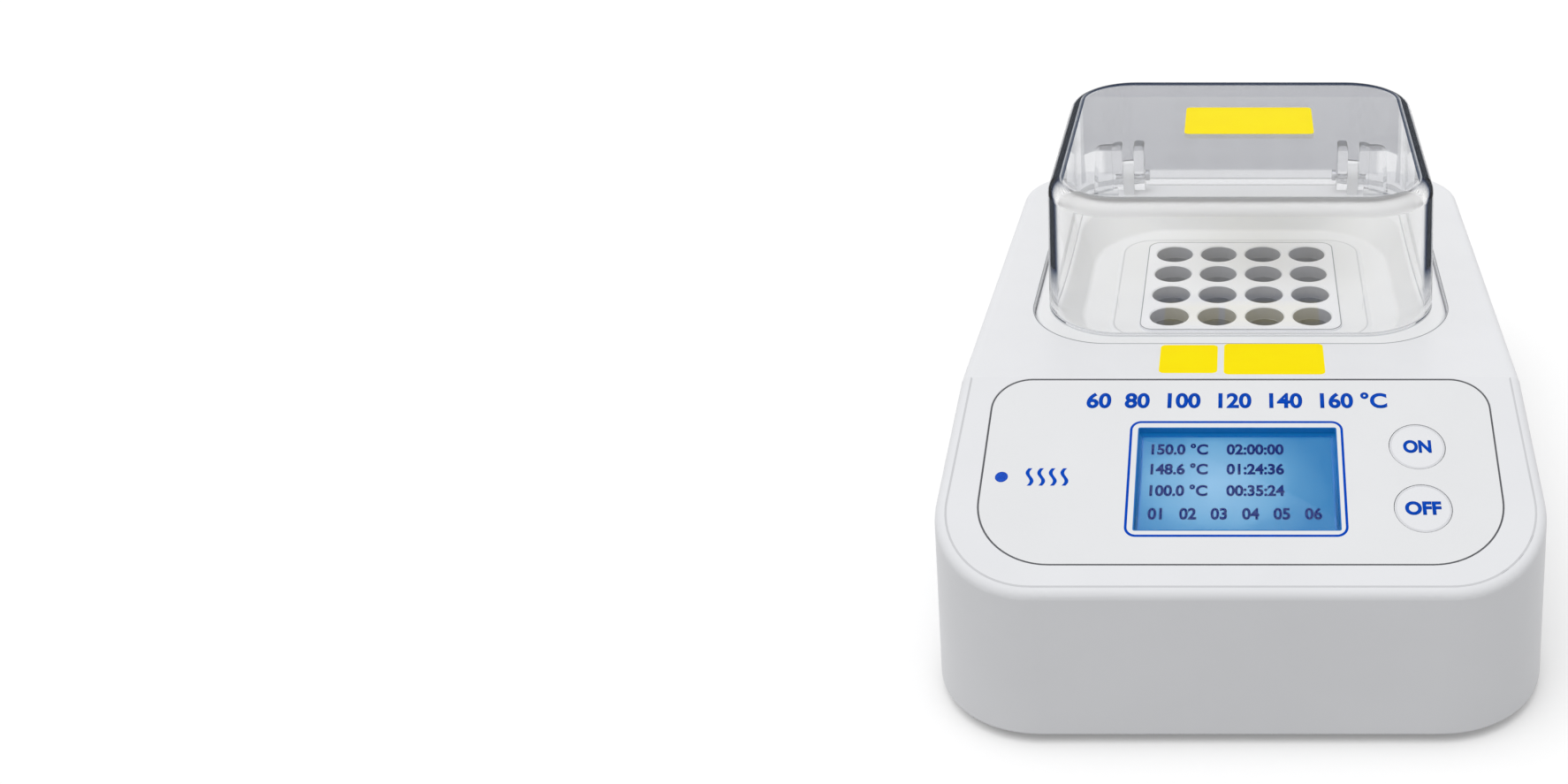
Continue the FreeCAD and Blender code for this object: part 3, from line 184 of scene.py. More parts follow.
# Moulded, coated and printed finishes: a faint mottle, a fine grain and an uneven gloss
mouldedUsual = {"patch": 45, "grain": 2400, "detail": 2.0, "gloss": 0.5, "glow": 0.0, "depth": 0.000004}
mouldedLooks = {
    "white_housing": {
        "colour": (232, 233, 236), "shade": (229, 230, 233), "rough": (0.33, 0.41), "patch": 24
    },
    "white_console": {
        "colour": (231, 232, 234), "shade": (229, 230, 232), "rough": (0.42, 0.48), "patch": 30
    },
    "white_tray": {"colour": (235, 236, 238), "shade": (232, 233, 235), "rough": (0.34, 0.42), "patch": 28},
    "white_plate": {"colour": (239, 240, 244), "shade": (236, 237, 241), "rough": (0.36, 0.44)},
    "button_white": {"colour": (232, 233, 236), "shade": (230, 231, 234), "rough": (0.36, 0.42)},
    "ceramic": {"colour": (236, 232, 220), "shade": (226, 220, 205), "rough": (0.62, 0.75), "grain": 1400},
    "base_grey": {
        "colour": (142, 144, 148), "shade": (134, 136, 140), "rough": (0.42, 0.52), "depth": 0.00002
    },
    "foot_rubber": {"colour": (46, 46, 48), "shade": (38, 38, 40), "rough": (0.72, 0.86), "depth": 0.00003},
    # the glow here and on the liner below is painted light, lifting the shade in the display's recess
    "display_blue": {
        "colour": (14, 106, 168), "shade": (12, 94, 152), "rough": (0.3, 0.4), "patch": 60, "glow": 0.45
    },
    "switch_black": {"colour": (40, 40, 42), "shade": (33, 33, 35), "rough": (0.42, 0.52)},
    "led_body": {"colour": (236, 238, 226), "shade": (226, 228, 214), "rough": (0.22, 0.3)},
    "relay_blue": {"colour": (38, 84, 168), "shade": (32, 74, 152), "rough": (0.34, 0.42)},
    "capacitor_sleeve": {"colour": (34, 38, 66), "shade": (28, 31, 56), "rough": (0.26, 0.34)},
    "terminal_green": {"colour": (38, 128, 64), "shade": (32, 114, 56), "rough": (0.4, 0.5)},
    "inlet_black": {"colour": (38, 38, 40), "shade": (31, 31, 33), "rough": (0.4, 0.5), "depth": 0.00002},
    "rocker_black": {"colour": (34, 34, 36), "shade": (28, 28, 30), "rough": (0.2, 0.28)},
    "ink_blue": {
        "colour": (0, 74, 192), "shade": (0, 68, 180), "rough": (0.4, 0.5), "patch": 200, "gloss": 0.06
    },
    "ink_grey": {"colour": (218, 219, 223), "shade": (215, 216, 220), "rough": (0.4, 0.48), "patch": 200},
    # the crease, step, joint and seal greys below are painted shade, on thin lines and a bead
    "crease_shade_grey": {"colour": (206, 207, 210), "shade": (202, 203, 206), "rough": (0.42, 0.5), "patch": 90},
    "step_shade_grey": {"colour": (212, 213, 216), "shade": (208, 209, 212), "rough": (0.4, 0.5), "patch": 90},
    "joint_shadow_grey": {"colour": (158, 160, 164), "shade": (150, 152, 156), "rough": (0.5, 0.6), "gloss": 0.3},
    "seal_shade_grey": {"colour": (96, 97, 101), "shade": (86, 87, 91), "rough": (0.55, 0.68), "gloss": 0.2},
    "ink_white": {"colour": (232, 232, 230), "shade": (226, 226, 224), "rough": (0.4, 0.5), "patch": 200},
    "segment_blue": {
        "colour": (4, 34, 116), "shade": (6, 38, 122), "rough": (0.5, 0.6), "patch": 200, "gloss": 0.0
    },
    "liner_painted_shade": {
        "colour": (14, 98, 164), "shade": (12, 88, 150), "rough": (0.3, 0.4), "patch": 90, "glow": 0.35
    },
    "label_yellow": {
        "colour": (253, 232, 0), "shade": (252, 228, 0), "rough": (0.4, 0.5), "patch": 60, "gloss": 0.05
    },
}

# The upright walls of the well plate's holes, painted grey: painted shade in the holes and a painted
# reflection of the metal wells
boreShadeLook = {
    "slot": "white_plate",
    "colour": (196, 197, 201),
    "margin": 0.003,
    "blur": 0.0005,
    "upright": (0.2, 0.4),
}


def boreShadeOf(tree, place):
    spot = axesOf(tree, place)
    low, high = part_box("well_plate")
    reach = (high[0] - low[0]) / 2 - boreShadeLook["margin"]
    across = unsigned(tree, spot["X"])
    along = unsigned(tree, combined(tree, "SUBTRACT", spot["Y"], (low[1] + high[1]) / 2))
    inside = falls(tree, combined(tree, "MAXIMUM", across, along), reach, reach + boreShadeLook["blur"])
    upright = falls(tree, unsigned(tree, outwardAxes(tree)["Z"]), *boreShadeLook["upright"])
    return combined(tree, "MULTIPLY", inside, upright)


def mouldedFinish(name, look):
    look = {**mouldedUsual, **look}
    material, tree = startMaterial(name)
    place = onObject(tree)
    patches = noiseOn(tree, place, look["patch"])
    grain = noiseOn(tree, place, look["grain"], look["detail"])
    colour = mixed(tree, ranged(tree, patches, 0.0, 1.0), tone(*look["colour"]), tone(*look["shade"]))
    # painted grey shade and reflection on the walls of the plate's holes
    if name == boreShadeLook["slot"]:
        colour = mixed(tree, boreShadeOf(tree, place), colour, tone(*boreShadeLook["colour"]))
    feed(tree, "Base Color", colour)
    feed(tree, "Roughness", ranged(tree, grain, *look["rough"]))
    shaderOf(tree)["Specular IOR Level"].default_value = look["gloss"]
    # a look's glow is painted light
    shaderOf(tree)["Emission Color"].default_value = tone(*look["colour"])
    shaderOf(tree)["Emission Strength"].default_value = look["glow"]
    relief(tree, grain, look["depth"])
    return material


# Metals: grain drawn out along the way they were worked
metalUsual = {"detail": 4.0, "depth": 0.000006}
metalLooks = {
    "pin_steel": {
        "colour": (196, 197, 200), "shade": (168, 169, 172), "rough": (0.16, 0.3), "way": (20, 900, 900)
    },
    "screw_steel": {
        "colour": (190, 191, 194), "shade": (158, 159, 162), "rough": (0.24, 0.38), "way": (700, 700, 90)
    },
    "plate_steel": {
        "colour": (186, 188, 191), "shade": (160, 162, 165), "rough": (0.3, 0.42), "way": (25, 800, 800)
    },
    "cutout_can": {
        "colour": (200, 200, 202), "shade": (172, 172, 175), "rough": (0.28, 0.4), "way": (500, 60, 500)
    },
    "pillar_brass": {
        "colour": (205, 176, 108), "shade": (180, 150, 84), "rough": (0.24, 0.36), "way": (60, 60, 1500)
    },
    "sink_black": {"colour": (44, 44, 47), "shade": (36, 36, 39), "rough": (0.4, 0.5), "way": (400, 400, 30)},
    "cell_steel": {
        "colour": (214, 214, 212), "shade": (190, 190, 189), "rough": (0.2, 0.32), "way": (300, 300, 300)
    },
    "blade_brass": {
        "colour": (214, 200, 160), "shade": (190, 174, 132), "rough": (0.24, 0.36), "way": (600, 40, 600)
    },
    "cap_metal": {
        "colour": (206, 204, 198), "shade": (180, 178, 172), "rough": (0.2, 0.32), "way": (60, 900, 900)
    },
}


def metalFinish(name, look):
    material, tree = startMaterial(name)
    streaks = noiseOn(tree, onObject(tree, look["way"]), 1.0, metalUsual["detail"])
    share = ranged(tree, streaks, 0.0, 1.0)
    feed(tree, "Base Color", mixed(tree, share, tone(*look["colour"]), tone(*look["shade"])))
    feed(tree, "Roughness", ranged(tree, streaks, *look["rough"]))
    shaderOf(tree)["Metallic"].default_value = 1.0
    relief(tree, streaks, metalUsual["depth"])
    return material


# Banded finishes: laminations, wound tape, ribbon conductors
bandedUsual = {
    "waver": 0.3,
    "grime": (0.85, 1.1),
    "patch": 90,
    "grain": 1200,
    "roughEither": 0.06,
    "depth": 0.00008,
}
bandedLooks = {
    "core_iron": {
        "colour": (92, 94, 99), "shade": (58, 60, 65), "bands": 320, "way": "Y", "rough": 0.45, "metal": 0.7
    },
    "coil_tape": {
        "colour": (226, 192, 60), "shade": (206, 170, 40), "bands": 45, "way": "Z", "rough": 0.3, "metal": 0.0
    },
    "ribbon_grey": {
        "colour": (176, 176, 180), "shade": (140, 140, 146),
        "bands": 125, "way": "X", "rough": 0.45, "metal": 0.0
    },
}


def bandedFinish(name, look):
    material, tree = startMaterial(name)
    place = onObject(tree)
    bands = waveOn(tree, place, look["bands"], look["way"], bandedUsual["waver"])
    grime = ranged(tree, noiseOn(tree, place, bandedUsual["patch"]), *bandedUsual["grime"])
    share = combined(tree, "MULTIPLY", bands, grime)
    feed(tree, "Base Color", mixed(tree, share, tone(*look["shade"]), tone(*look["colour"])))
    least, most = (look["rough"] + side * bandedUsual["roughEither"] for side in (-1, 1))
    feed(tree, "Roughness", ranged(tree, noiseOn(tree, place, bandedUsual["grain"]), least, most))
    shaderOf(tree)["Metallic"].default_value = look["metal"]
    relief(tree, bands, bandedUsual["depth"])
    return material


# Heating block: milled faces, with the drill's rings down the wells
blockLook = {
    "colour": (190, 191, 194),
    "shade": (170, 171, 175),
    "rough": (0.48, 0.62),
    "metal": 0.35,
    "streak": (60, 900, 60),
    "rings": 520,
    "waver": 0.4,
    "depth": 0.00001,
}


def blockFinish(name):
    material, tree = startMaterial(name)
    rings = waveOn(tree, onObject(tree), blockLook["rings"], "Z", blockLook["waver"])
    streaks = noiseOn(tree, onObject(tree, blockLook["streak"]), 1.0, metalUsual["detail"])
    share = ranged(tree, streaks, 0.0, 1.0)
    feed(tree, "Base Color", mixed(tree, share, tone(*blockLook["colour"]), tone(*blockLook["shade"])))
    feed(tree, "Roughness", ranged(tree, streaks, *blockLook["rough"]))
    shaderOf(tree)["Metallic"].default_value = blockLook["metal"]
    relief(tree, rings, blockLook["depth"])
    return material


# Heater mat: silicone pressed over a woven backing
matLook = {
    "colour": (190, 92, 58),
    "shade": (164, 74, 44),
    "rough": (0.5, 0.62),
    "weave": 420,
    "waver": 0.2,
    "grain": 900,
    "depth": 0.00005,
}


def matFinish(name):
    material, tree = startMaterial(name)
    place = onObject(tree)
    warp, weft = (waveOn(tree, place, matLook["weave"], way, matLook["waver"]) for way in ("X", "Y"))
    weave = combined(tree, "MULTIPLY", warp, weft)
    feed(tree, "Base Color", mixed(tree, weave, tone(*matLook["shade"]), tone(*matLook["colour"])))
    feed(tree, "Roughness", ranged(tree, noiseOn(tree, place, matLook["grain"]), *matLook["rough"]))
    relief(tree, weave, matLook["depth"])
    return material


# Pressed ceramic fibre: matted strands with pale clumps
fibreLook = {
    "colour": (238, 235, 226),
    "shade": (214, 209, 196),
    "rough": (0.82, 0.95),
    "strands": (180, 1600, 1600),
    "strandDetail": 6.0,
    "clumps": 160,
    "clumpDetail": 5.0,
    "matted": (0.12, 0.4),
    "depth": 0.0002,
}


def fibreFinish(name):
    material, tree = startMaterial(name)
    strands = noiseOn(tree, onObject(tree, fibreLook["strands"]), 1.0, fibreLook["strandDetail"])
    clumps = noiseOn(tree, onObject(tree), fibreLook["clumps"], fibreLook["clumpDetail"])
    share = rises(tree, combined(tree, "MULTIPLY", strands, clumps), *fibreLook["matted"])
    feed(tree, "Base Color", mixed(tree, share, tone(*fibreLook["shade"]), tone(*fibreLook["colour"])))
    feed(tree, "Roughness", ranged(tree, strands, *fibreLook["rough"]))
    relief(tree, share, fibreLook["depth"])
    return material


# Circuit board: solder mask over copper tracks, with the glass cloth's grid showing faintly
boardLook = {
    "mask": (22, 92, 48),
    "track": (34, 122, 66),
    "trackWidth": 0.09,
    "pitch": 150,
    "cloth": 900,
    "rough": (0.26, 0.36),
    "depth": 0.00003,
}


def boardFinish(name):
    material, tree = startMaterial(name)
    place = onObject(tree)
    bricks = tree.nodes.new("ShaderNodeTexBrick")
    bricks.inputs["Scale"].default_value = boardLook["pitch"]
    bricks.inputs["Mortar Size"].default_value = boardLook["trackWidth"]
    bricks.inputs["Color1"].default_value = tone(*boardLook["mask"])
    bricks.inputs["Color2"].default_value = tone(*boardLook["mask"])
    bricks.inputs["Mortar"].default_value = tone(*boardLook["track"])
    tree.links.new(place, bricks.inputs["Vector"])
    feed(tree, "Base Color", bricks.outputs["Color"])
    cloth = waveOn(tree, place, boardLook["cloth"], "X")
    feed(tree, "Roughness", ranged(tree, cloth, *boardLook["rough"], 0.0, 1.0))
    relief(tree, bricks.outputs["Fac"], boardLook["depth"])
    return material


# Clear pieces let lamps and bounced light through, so that what is under them stays lit
def lightThrough(tree, tint):
    path = tree.nodes.new("ShaderNodeLightPath")
    either = combined(tree, "MAXIMUM", path.outputs["Is Shadow Ray"], path.outputs["Is Diffuse Ray"])
    transparent = tree.nodes.new("ShaderNodeBsdfTransparent")
    transparent.inputs["Color"].default_value = tint
    joinShaders(tree, either, tree.nodes["Principled BSDF"].outputs["BSDF"], transparent.outputs["BSDF"])


# Lid: clear polycarbonate, with painted light: painted grey shade on its rear wall and top face, its foot and
# front top edge turned milky white as painted highlights, and painted dark reflections on its curved edges
# where they are seen at a low angle
lidLook = {
    "clear": (254, 254, 254),
    # the top and rear-wall colours are painted grey shade, the edge colour a painted dark reflection, the
    # foot colour a painted white highlight
    "top": (228, 229, 232),
    "backShade": (178, 179, 184),
    "edge": (60, 74, 96),
    "foot": (226, 228, 231),
    "ior": 1.42,
    "haze": 0.012,
    "hazePatch": 60,
    # the painted grey shade lies behind the Y and above the Z given here; above and beside the ears it starts
    # further forward
    "backShadeY": 0.1253,
    "backShadeZ": 0.1035,
    "backShadeDeeper": 0.014,
    "earTop": 0.118,
    "earReach": 0.0748,
    "footZ": 0.0958,
    "draft": 0.0559,
    "blur": 0.0015,
    # painted dark reflections on the edges: turned from the eye by this much, on curved surfaces, above the
    # foot
    "turnedFrom": (0.44, 0.62),
    "turnedTo": (0.8, 0.9),
    "flatFrom": (0.982, 0.994),
    "cornerFrom": (0.75, 0.83),
    "uprightTo": (0.25, 0.45),
    "darkZ": (0.1, 0.118),
    "shut": 0.85,
    # painted dark reflections on the rim and the brink, round the rear of the top
    "outsideFrom": (0.0, 0.04),
    "levelFrom": (0.97, 0.997),
    "rearFrom": (0.1, 0.35),
    "tiltedFrom": (0.1, 0.3),
    "rimTurned": (0.4, 0.52),
    "brinkY": 0.1,
    "brinkX": 0.0488,
    "brinkReach": 0.0223,
    "brinkWidth": 0.0046,
    "brinkReflectionDark": 0.9,
    # the foot and front top edge, frosted and turned milky white as painted highlights: how rough, and how
    # much they hide
    "milkyZ": (0.0963, 0.0967),
    "footFrost": 0.6,
    "footHighlight": 0.85,
    "frontY": (-0.006, -0.004),
    "frontFrost": 0.6,
    "frontHighlight": 0.24,
    "curveFrom": (0.08, 0.2),
    "curveTo": (0.998, 0.9998),
}
leastDivisor = 0.0001  # keeps a division from running into 0


def softly(tree, source, start):
    return rises(tree, source, start, start + lidLook["blur"])


def backShadeOf(tree, spot):
    # painted grey shade behind the rear wall's plane, which leans with its draft
    height = combined(tree, "SUBTRACT", spot["Z"], lidLook["footZ"])
    lean = combined(tree, "MULTIPLY", height, lidLook["draft"])
    aboveEars = softly(tree, spot["Z"], lidLook["earTop"])
    besideEars = softly(tree, unsigned(tree, spot["X"]), lidLook["earReach"])
    either = combined(tree, "MAXIMUM", aboveEars, besideEars)
    deeper = combined(tree, "MULTIPLY", either, lidLook["backShadeDeeper"])
    behind = softly(tree, combined(tree, "ADD", spot["Y"], lean, deeper), lidLook["backShadeY"])
    return combined(tree, "MULTIPLY", behind, softly(tree, spot["Z"], lidLook["backShadeZ"]))


def darkReflectionOf(tree, spot, out, turned):
    # painted dark reflection on curved surfaces only, where sight enters the plastic; an upright corner only
    # beside the side walls
    slopes = [unsigned(tree, out[axis]) for axis in ("X", "Y", "Z")]
    curved = falls(tree, combined(tree, "MAXIMUM", *slopes), *lidLook["flatFrom"])
    upright = falls(tree, slopes[2], *lidLook["uprightTo"])
    cornerMiddle = falls(tree, slopes[0], *lidLook["cornerFrom"])
    besideWalls = opposite(tree, combined(tree, "MULTIPLY", upright, cornerMiddle))
    entering = opposite(tree, tree.nodes.new("ShaderNodeNewGeometry").outputs["Backfacing"])
    grazing = rises(tree, turned, *lidLook["turnedFrom"])
    notEdgeOn = falls(tree, turned, *lidLook["turnedTo"])
    notTop = falls(tree, out["Z"], *lidLook["levelFrom"])
    aboveFoot = rises(tree, spot["Z"], *lidLook["darkZ"])
    return combined(tree, "MULTIPLY", grazing, notEdgeOn, notTop, aboveFoot, entering, curved, besideWalls)


def brinkReflectionOf(tree, spot):
    # a band of painted dark reflection inside the top's rear edge and rear corners, dying out along the sides
    across = combined(tree, "SUBTRACT", unsigned(tree, spot["X"]), lidLook["brinkX"])
    along = combined(tree, "SUBTRACT", spot["Y"], lidLook["brinkY"])
    across = combined(tree, "MAXIMUM", across, 0.0)
    along = combined(tree, "MAXIMUM", along, 0.0)
    squares = [combined(tree, "MULTIPLY", side, side) for side in (across, along)]
    reach = combined(tree, "POWER", combined(tree, "ADD", *squares), 0.5)
    rearShare = combined(tree, "DIVIDE", along, combined(tree, "MAXIMUM", reach, leastDivisor))
    width = combined(tree, "MULTIPLY", rearShare, rearShare, lidLook["brinkWidth"])
    inside = combined(tree, "SUBTRACT", lidLook["brinkReach"], reach)
    near = combined(tree, "DIVIDE", inside, combined(tree, "MAXIMUM", width, leastDivisor))
    return ranged(tree, near, lidLook["brinkReflectionDark"], 0.0, 0.5, 1.0)


def rimReflectionOf(tree, spot, out, turned, level):
    # painted dark reflection on the rounded rear rim and the brink, at low angles
    rearward = rises(tree, out["Y"], *lidLook["rearFrom"])
    tilted = rises(tree, out["Z"], *lidLook["tiltedFrom"])
    notTop = falls(tree, out["Z"], *lidLook["levelFrom"])
    rounded = combined(tree, "MULTIPLY", rearward, notTop, tilted)
    brink = combined(tree, "MULTIPLY", brinkReflectionOf(tree, spot), level)
    either = combined(tree, "MAXIMUM", rounded, brink)
    return combined(tree, "MULTIPLY", either, rises(tree, turned, *lidLook["rimTurned"]))


def frontEdgeOf(tree, spot, out):
    steep = unsigned(tree, out["Z"])
    curved = rises(tree, steep, *lidLook["curveFrom"])
    notLevel = falls(tree, steep, *lidLook["curveTo"])
    return combined(tree, "MULTIPLY", curved, notLevel, falls(tree, spot["Y"], *lidLook["frontY"]))


def lidFinish(name):
    material, tree = startMaterial(name)
    place = onObject(tree)
    spot, out = axesOf(tree, place), outwardAxes(tree)
    weight = tree.nodes.new("ShaderNodeLayerWeight")
    weight.inputs["Blend"].default_value = 0.5
    turned = weight.outputs["Facing"]
    level = rises(tree, out["Z"], *lidLook["levelFrom"])
    outside = rises(tree, out["Z"], *lidLook["outsideFrom"])
    foot = falls(tree, spot["Z"], *lidLook["milkyZ"])
    frontEdge = frontEdgeOf(tree, spot, out)

    # painted grey shade on the rear wall and the top face
    body = mixed(tree, backShadeOf(tree, spot), tone(*lidLook["clear"]), tone(*lidLook["backShade"]))
    body = mixed(tree, combined(tree, "MULTIPLY", level, outside), body, tone(*lidLook["top"]))
    body = mixed(tree, foot, body, tone(*lidLook["foot"]))
    # painted dark reflections on the edges, in colour, reflection tint and metalness
    dark = combined(tree, "MAXIMUM", darkReflectionOf(tree, spot, out, turned), rimReflectionOf(tree, spot, out, turned, level))
    dark = combined(tree, "MULTIPLY", dark, outside)
    feed(tree, "Base Color", mixed(tree, dark, body, tone(*lidLook["edge"])))
    feed(tree, "Specular Tint", mixed(tree, dark, fullWhite, tone(*lidLook["edge"])))
    feed(tree, "Metallic", ranged(tree, dark, 0.0, lidLook["shut"], 0.0, 1.0))

    haze = ranged(tree, noiseOn(tree, place, lidLook["hazePatch"]), 0.0, lidLook["haze"])
    footFrost = combined(tree, "MULTIPLY", foot, lidLook["footFrost"])
    frontFrost = combined(tree, "MULTIPLY", frontEdge, lidLook["frontFrost"])
    feed(tree, "Roughness", combined(tree, "MAXIMUM", haze, footFrost, frontFrost))
    # the foot and front top edge let less light through and show a painted white highlight
    footHighlight = combined(tree, "MULTIPLY", foot, lidLook["footHighlight"])
    frontHighlight = combined(tree, "MULTIPLY", frontEdge, lidLook["frontHighlight"])
    paintedHighlight = combined(tree, "MAXIMUM", footHighlight, frontHighlight)
    feed(tree, "Transmission Weight", opposite(tree, paintedHighlight))
    shaderOf(tree)["IOR"].default_value = lidLook["ior"]
    lightThrough(tree, tone(*lidLook["clear"]))
    return material


# Other clear pieces
clearLooks = {
    "window_clear": {"colour": (240, 246, 252), "rough": (0.0, 0.02), "ior": 1.22, "patch": 120},
    "fuse_glass": {"colour": (238, 246, 244), "rough": (0.0, 0.02), "ior": 1.5, "patch": 120},
}


def clearFinish(name, look):
    material, tree = startMaterial(name)
    shaderOf(tree)["Base Color"].default_value = tone(*look["colour"])
    shaderOf(tree)["Transmission Weight"].default_value = 1.0
    shaderOf(tree)["IOR"].default_value = look["ior"]
    feed(tree, "Roughness", ranged(tree, noiseOn(tree, onObject(tree), look["patch"]), *look["rough"]))
    lightThrough(tree, tone(*look["colour"]))
    return material


# Lamp lens: tinted and speckled, faintly lit from the lamp below
lensLook = {
    "colour": (4, 77, 191),
    "rim": (2, 52, 150),
    "rough": (0.12, 0.2),
    "gloss": 0.2,
    "glow": 0.25,
    "speckle": 2600,
    "detail": 2.0,
    "depth": 0.000006,
}


def lensFinish(name):
    material, tree = startMaterial(name)
    speckle = noiseOn(tree, onObject(tree), lensLook["speckle"], lensLook["detail"])
    colour = mixed(tree, ranged(tree, speckle, 0.0, 1.0), tone(*lensLook["colour"]), tone(*lensLook["rim"]))
    feed(tree, "Base Color", colour)
    feed(tree, "Emission Color", colour)
    shaderOf(tree)["Emission Strength"].default_value = lensLook["glow"]
    feed(tree, "Roughness", ranged(tree, speckle, *lensLook["rough"]))
    shaderOf(tree)["Specular IOR Level"].default_value = lensLook["gloss"]
    relief(tree, speckle, lensLook["depth"])
    return material


# Console frame: x to the right, y up the slope, z out of the panel, from the panel's upper edge
pressJoint = next(joint for joint in frame["record"]["behaviour"]["joints"] if joint["name"] == "on_press")
consoleOut = -Vector(pressJoint["axis"]).normalized()
consoleUp = consoleOut.cross(Vector((1, 0, 0)))
panelTop = max((v.co for v in frame["nodes"]["control_panel"].data.vertices), key=lambda point: point.z)
consoleOrigin = Vector((0, panelTop.y, panelTop.z))


def consolePlace(x, down, lift=0.0):
    turn = Matrix((Vector((1, 0, 0)), consoleUp, consoleOut)).transposed().to_4x4()
    return Matrix.Translation(consoleOrigin + Vector((x, 0, 0)) - consoleUp * down + consoleOut * lift) @ turn


def consoleSpan(node, height=None, flat=0.0):
    # lowest and highest x, distance down from the panel's upper edge, and lift of a node, or of
    # its face at a height
    points = [v.co - consoleOrigin for v in frame["nodes"][node].data.vertices]
    rows = [(p.x, -p.dot(consoleUp), p.dot(consoleOut)) for p in points]
    if height is not None:
        rows = [row for row in rows if abs(row[2] - height) < flat]
    return Vector(map(min, zip(*rows))), Vector(map(max, zip(*rows)))


def struckPlace(node, start, way):
    # where a ray meets a node: z stands out of the face there, y points up it
    mesh = frame["nodes"][node].data
    tree = BVHTree.FromPolygons([v.co for v in mesh.vertices], [p.vertices for p in mesh.polygons])
    spot, out = tree.ray_cast(Vector(start), Vector(way))[:2]
    across = Vector((0, 0, 1)).cross(out).normalized()
    turn = Matrix((across, out.cross(across), out)).transposed().to_4x4()
    return Matrix.Translation(spot) @ turn


# Making and placing pieces
finishFor = {}
printLook = {"sunk": 0.00002, "proud": 0.00004}
roundSteps = 24  # steps of a large corner


def finishPiece(name, shape, place, body, finish):
    # the shape's place goes into its mesh, and the object stays at the origin
    mesh = bpy.data.meshes.new(name)
    bmesh.ops.recalc_face_normals(shape, faces=shape.faces)
    shape.to_mesh(mesh)
    shape.free()
    mesh.transform(place)
    mesh.materials.append(finishFor[finish])
    piece = bpy.data.objects.new(name, mesh)
    bpy.context.scene.collection.objects.link(piece)
    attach(piece, body)


def thicken(shape, low, high):
    # lifts a flat shape into a closed slab between two heights
    bmesh.ops.translate(shape, verts=shape.verts, vec=(0, 0, low))
    lifted = bmesh.ops.extrude_face_region(shape, geom=shape.faces[:], use_keep_orig=True)
    raised = [part for part in lifted["geom"] if isinstance(part, bmesh.types.BMVert)]
    bmesh.ops.translate(shape, verts=raised, vec=(0, 0, high - low))


def flatPlate(width, height, corner, steps=8, lowCorner=None):
    shape = bmesh.new()
    bmesh.ops.create_grid(shape, x_segments=1, y_segments=1, size=0.5)
    bmesh.ops.scale(shape, verts=shape.verts, vec=(width, height, 1))
    upper = [v for v in shape.verts if v.co.y > 0]
    lower = [v for v in shape.verts if v.co.y < 0]
    for corners, radius in ((upper, corner), (lower, lowCorner or corner)):
        bmesh.ops.bevel(
            shape, geom=corners, offset=radius, segments=steps, profile=0.5, affect="VERTICES", material=-1
        )
    return shape


def flatDisc(radius, steps=96):
    shape = bmesh.new()
    bmesh.ops.create_circle(shape, cap_ends=True, radius=radius, segments=steps)
    return shape


def hollowOut(shape, line):
    # leaves only a band of a line's width round the edge of a flat shape
    whole = shape.faces[:]
    bmesh.ops.inset_individual(shape, faces=whole, thickness=line, use_even_offset=True)
    bmesh.ops.delete(shape, geom=whole, context="FACES")


def printed(shape):
    thicken(shape, -printLook["sunk"], printLook["proud"])
    return shape


def lettering(words, width, height, weight):
    # words drawn flat, fitted to a width and height about their middle
    curve = bpy.data.curves.new("words", "FONT")
    curve.body = words
    curve.resolution_u = 6
    curve.offset = weight
    holder = bpy.data.objects.new("words", curve)
    bpy.context.scene.collection.objects.link(holder)
    mesh = bpy.data.meshes.new_from_object(holder.evaluated_get(bpy.context.evaluated_depsgraph_get()))
    bpy.data.objects.remove(holder)
    shape = bmesh.new()
    shape.from_mesh(mesh)
    bpy.data.meshes.remove(mesh)
    bmesh.ops.remove_doubles(shape, verts=shape.verts, dist=0.0001)
    low = Vector(map(min, zip(*[v.co for v in shape.verts])))
    high = Vector(map(max, zip(*[v.co for v in shape.verts])))
    bmesh.ops.translate(shape, verts=shape.verts, vec=-(low + high) / 2)
    size = high - low
    bmesh.ops.scale(shape, verts=shape.verts, vec=(width / size.x, height / size.y, 1))
    return printed(shape)


# Finishes
for slotName, look in mouldedLooks.items():
    finishFor[slotName] = mouldedFinish(slotName, look)
for slotName, look in metalLooks.items():
    finishFor[slotName] = metalFinish(slotName, look)
for slotName, look in bandedLooks.items():
    finishFor[slotName] = bandedFinish(slotName, look)
for slotName, look in clearLooks.items():
    finishFor[slotName] = clearFinish(slotName, look)
finishFor["block_metal"] = blockFinish("block_metal")
finishFor["heater_silicone"] = matFinish("heater_silicone")
finishFor["fibre_insulation"] = fibreFinish("fibre_insulation")
finishFor["board_green"] = boardFinish("board_green")
finishFor["clear_lid"] = lidFinish("clear_lid")
finishFor["lamp_blue"] = lensFinish("lamp_blue")
for node, piece in frame["nodes"].items():
    piece.material_slots[0].material = finishFor[slotOf[node]]
print("finishes on all", len(frame["nodes"]), "nodes")


# Lit screen: brightest left of its middle, with the fine columns of its dots
screenLook = {
    "centre": (142, 190, 222),
    "middle": (92, 158, 200),
    "edge": (36, 122, 178),
    "unlit": (6, 26, 44),
    "glow": 1.0,
    "gloss": 0.15,
    "left": 0.0075,
    "spread": (0.0415, 0.031, 0.031),
    "centreFrom": (0.3, 0.95),
    "edgeTo": (0.0, 0.42),
    "haze": 0.06,
    "hazePatch": 60,
    "dots": 1100,
    "rough": (0.22, 0.32),
    "depth": 0.000003,
}


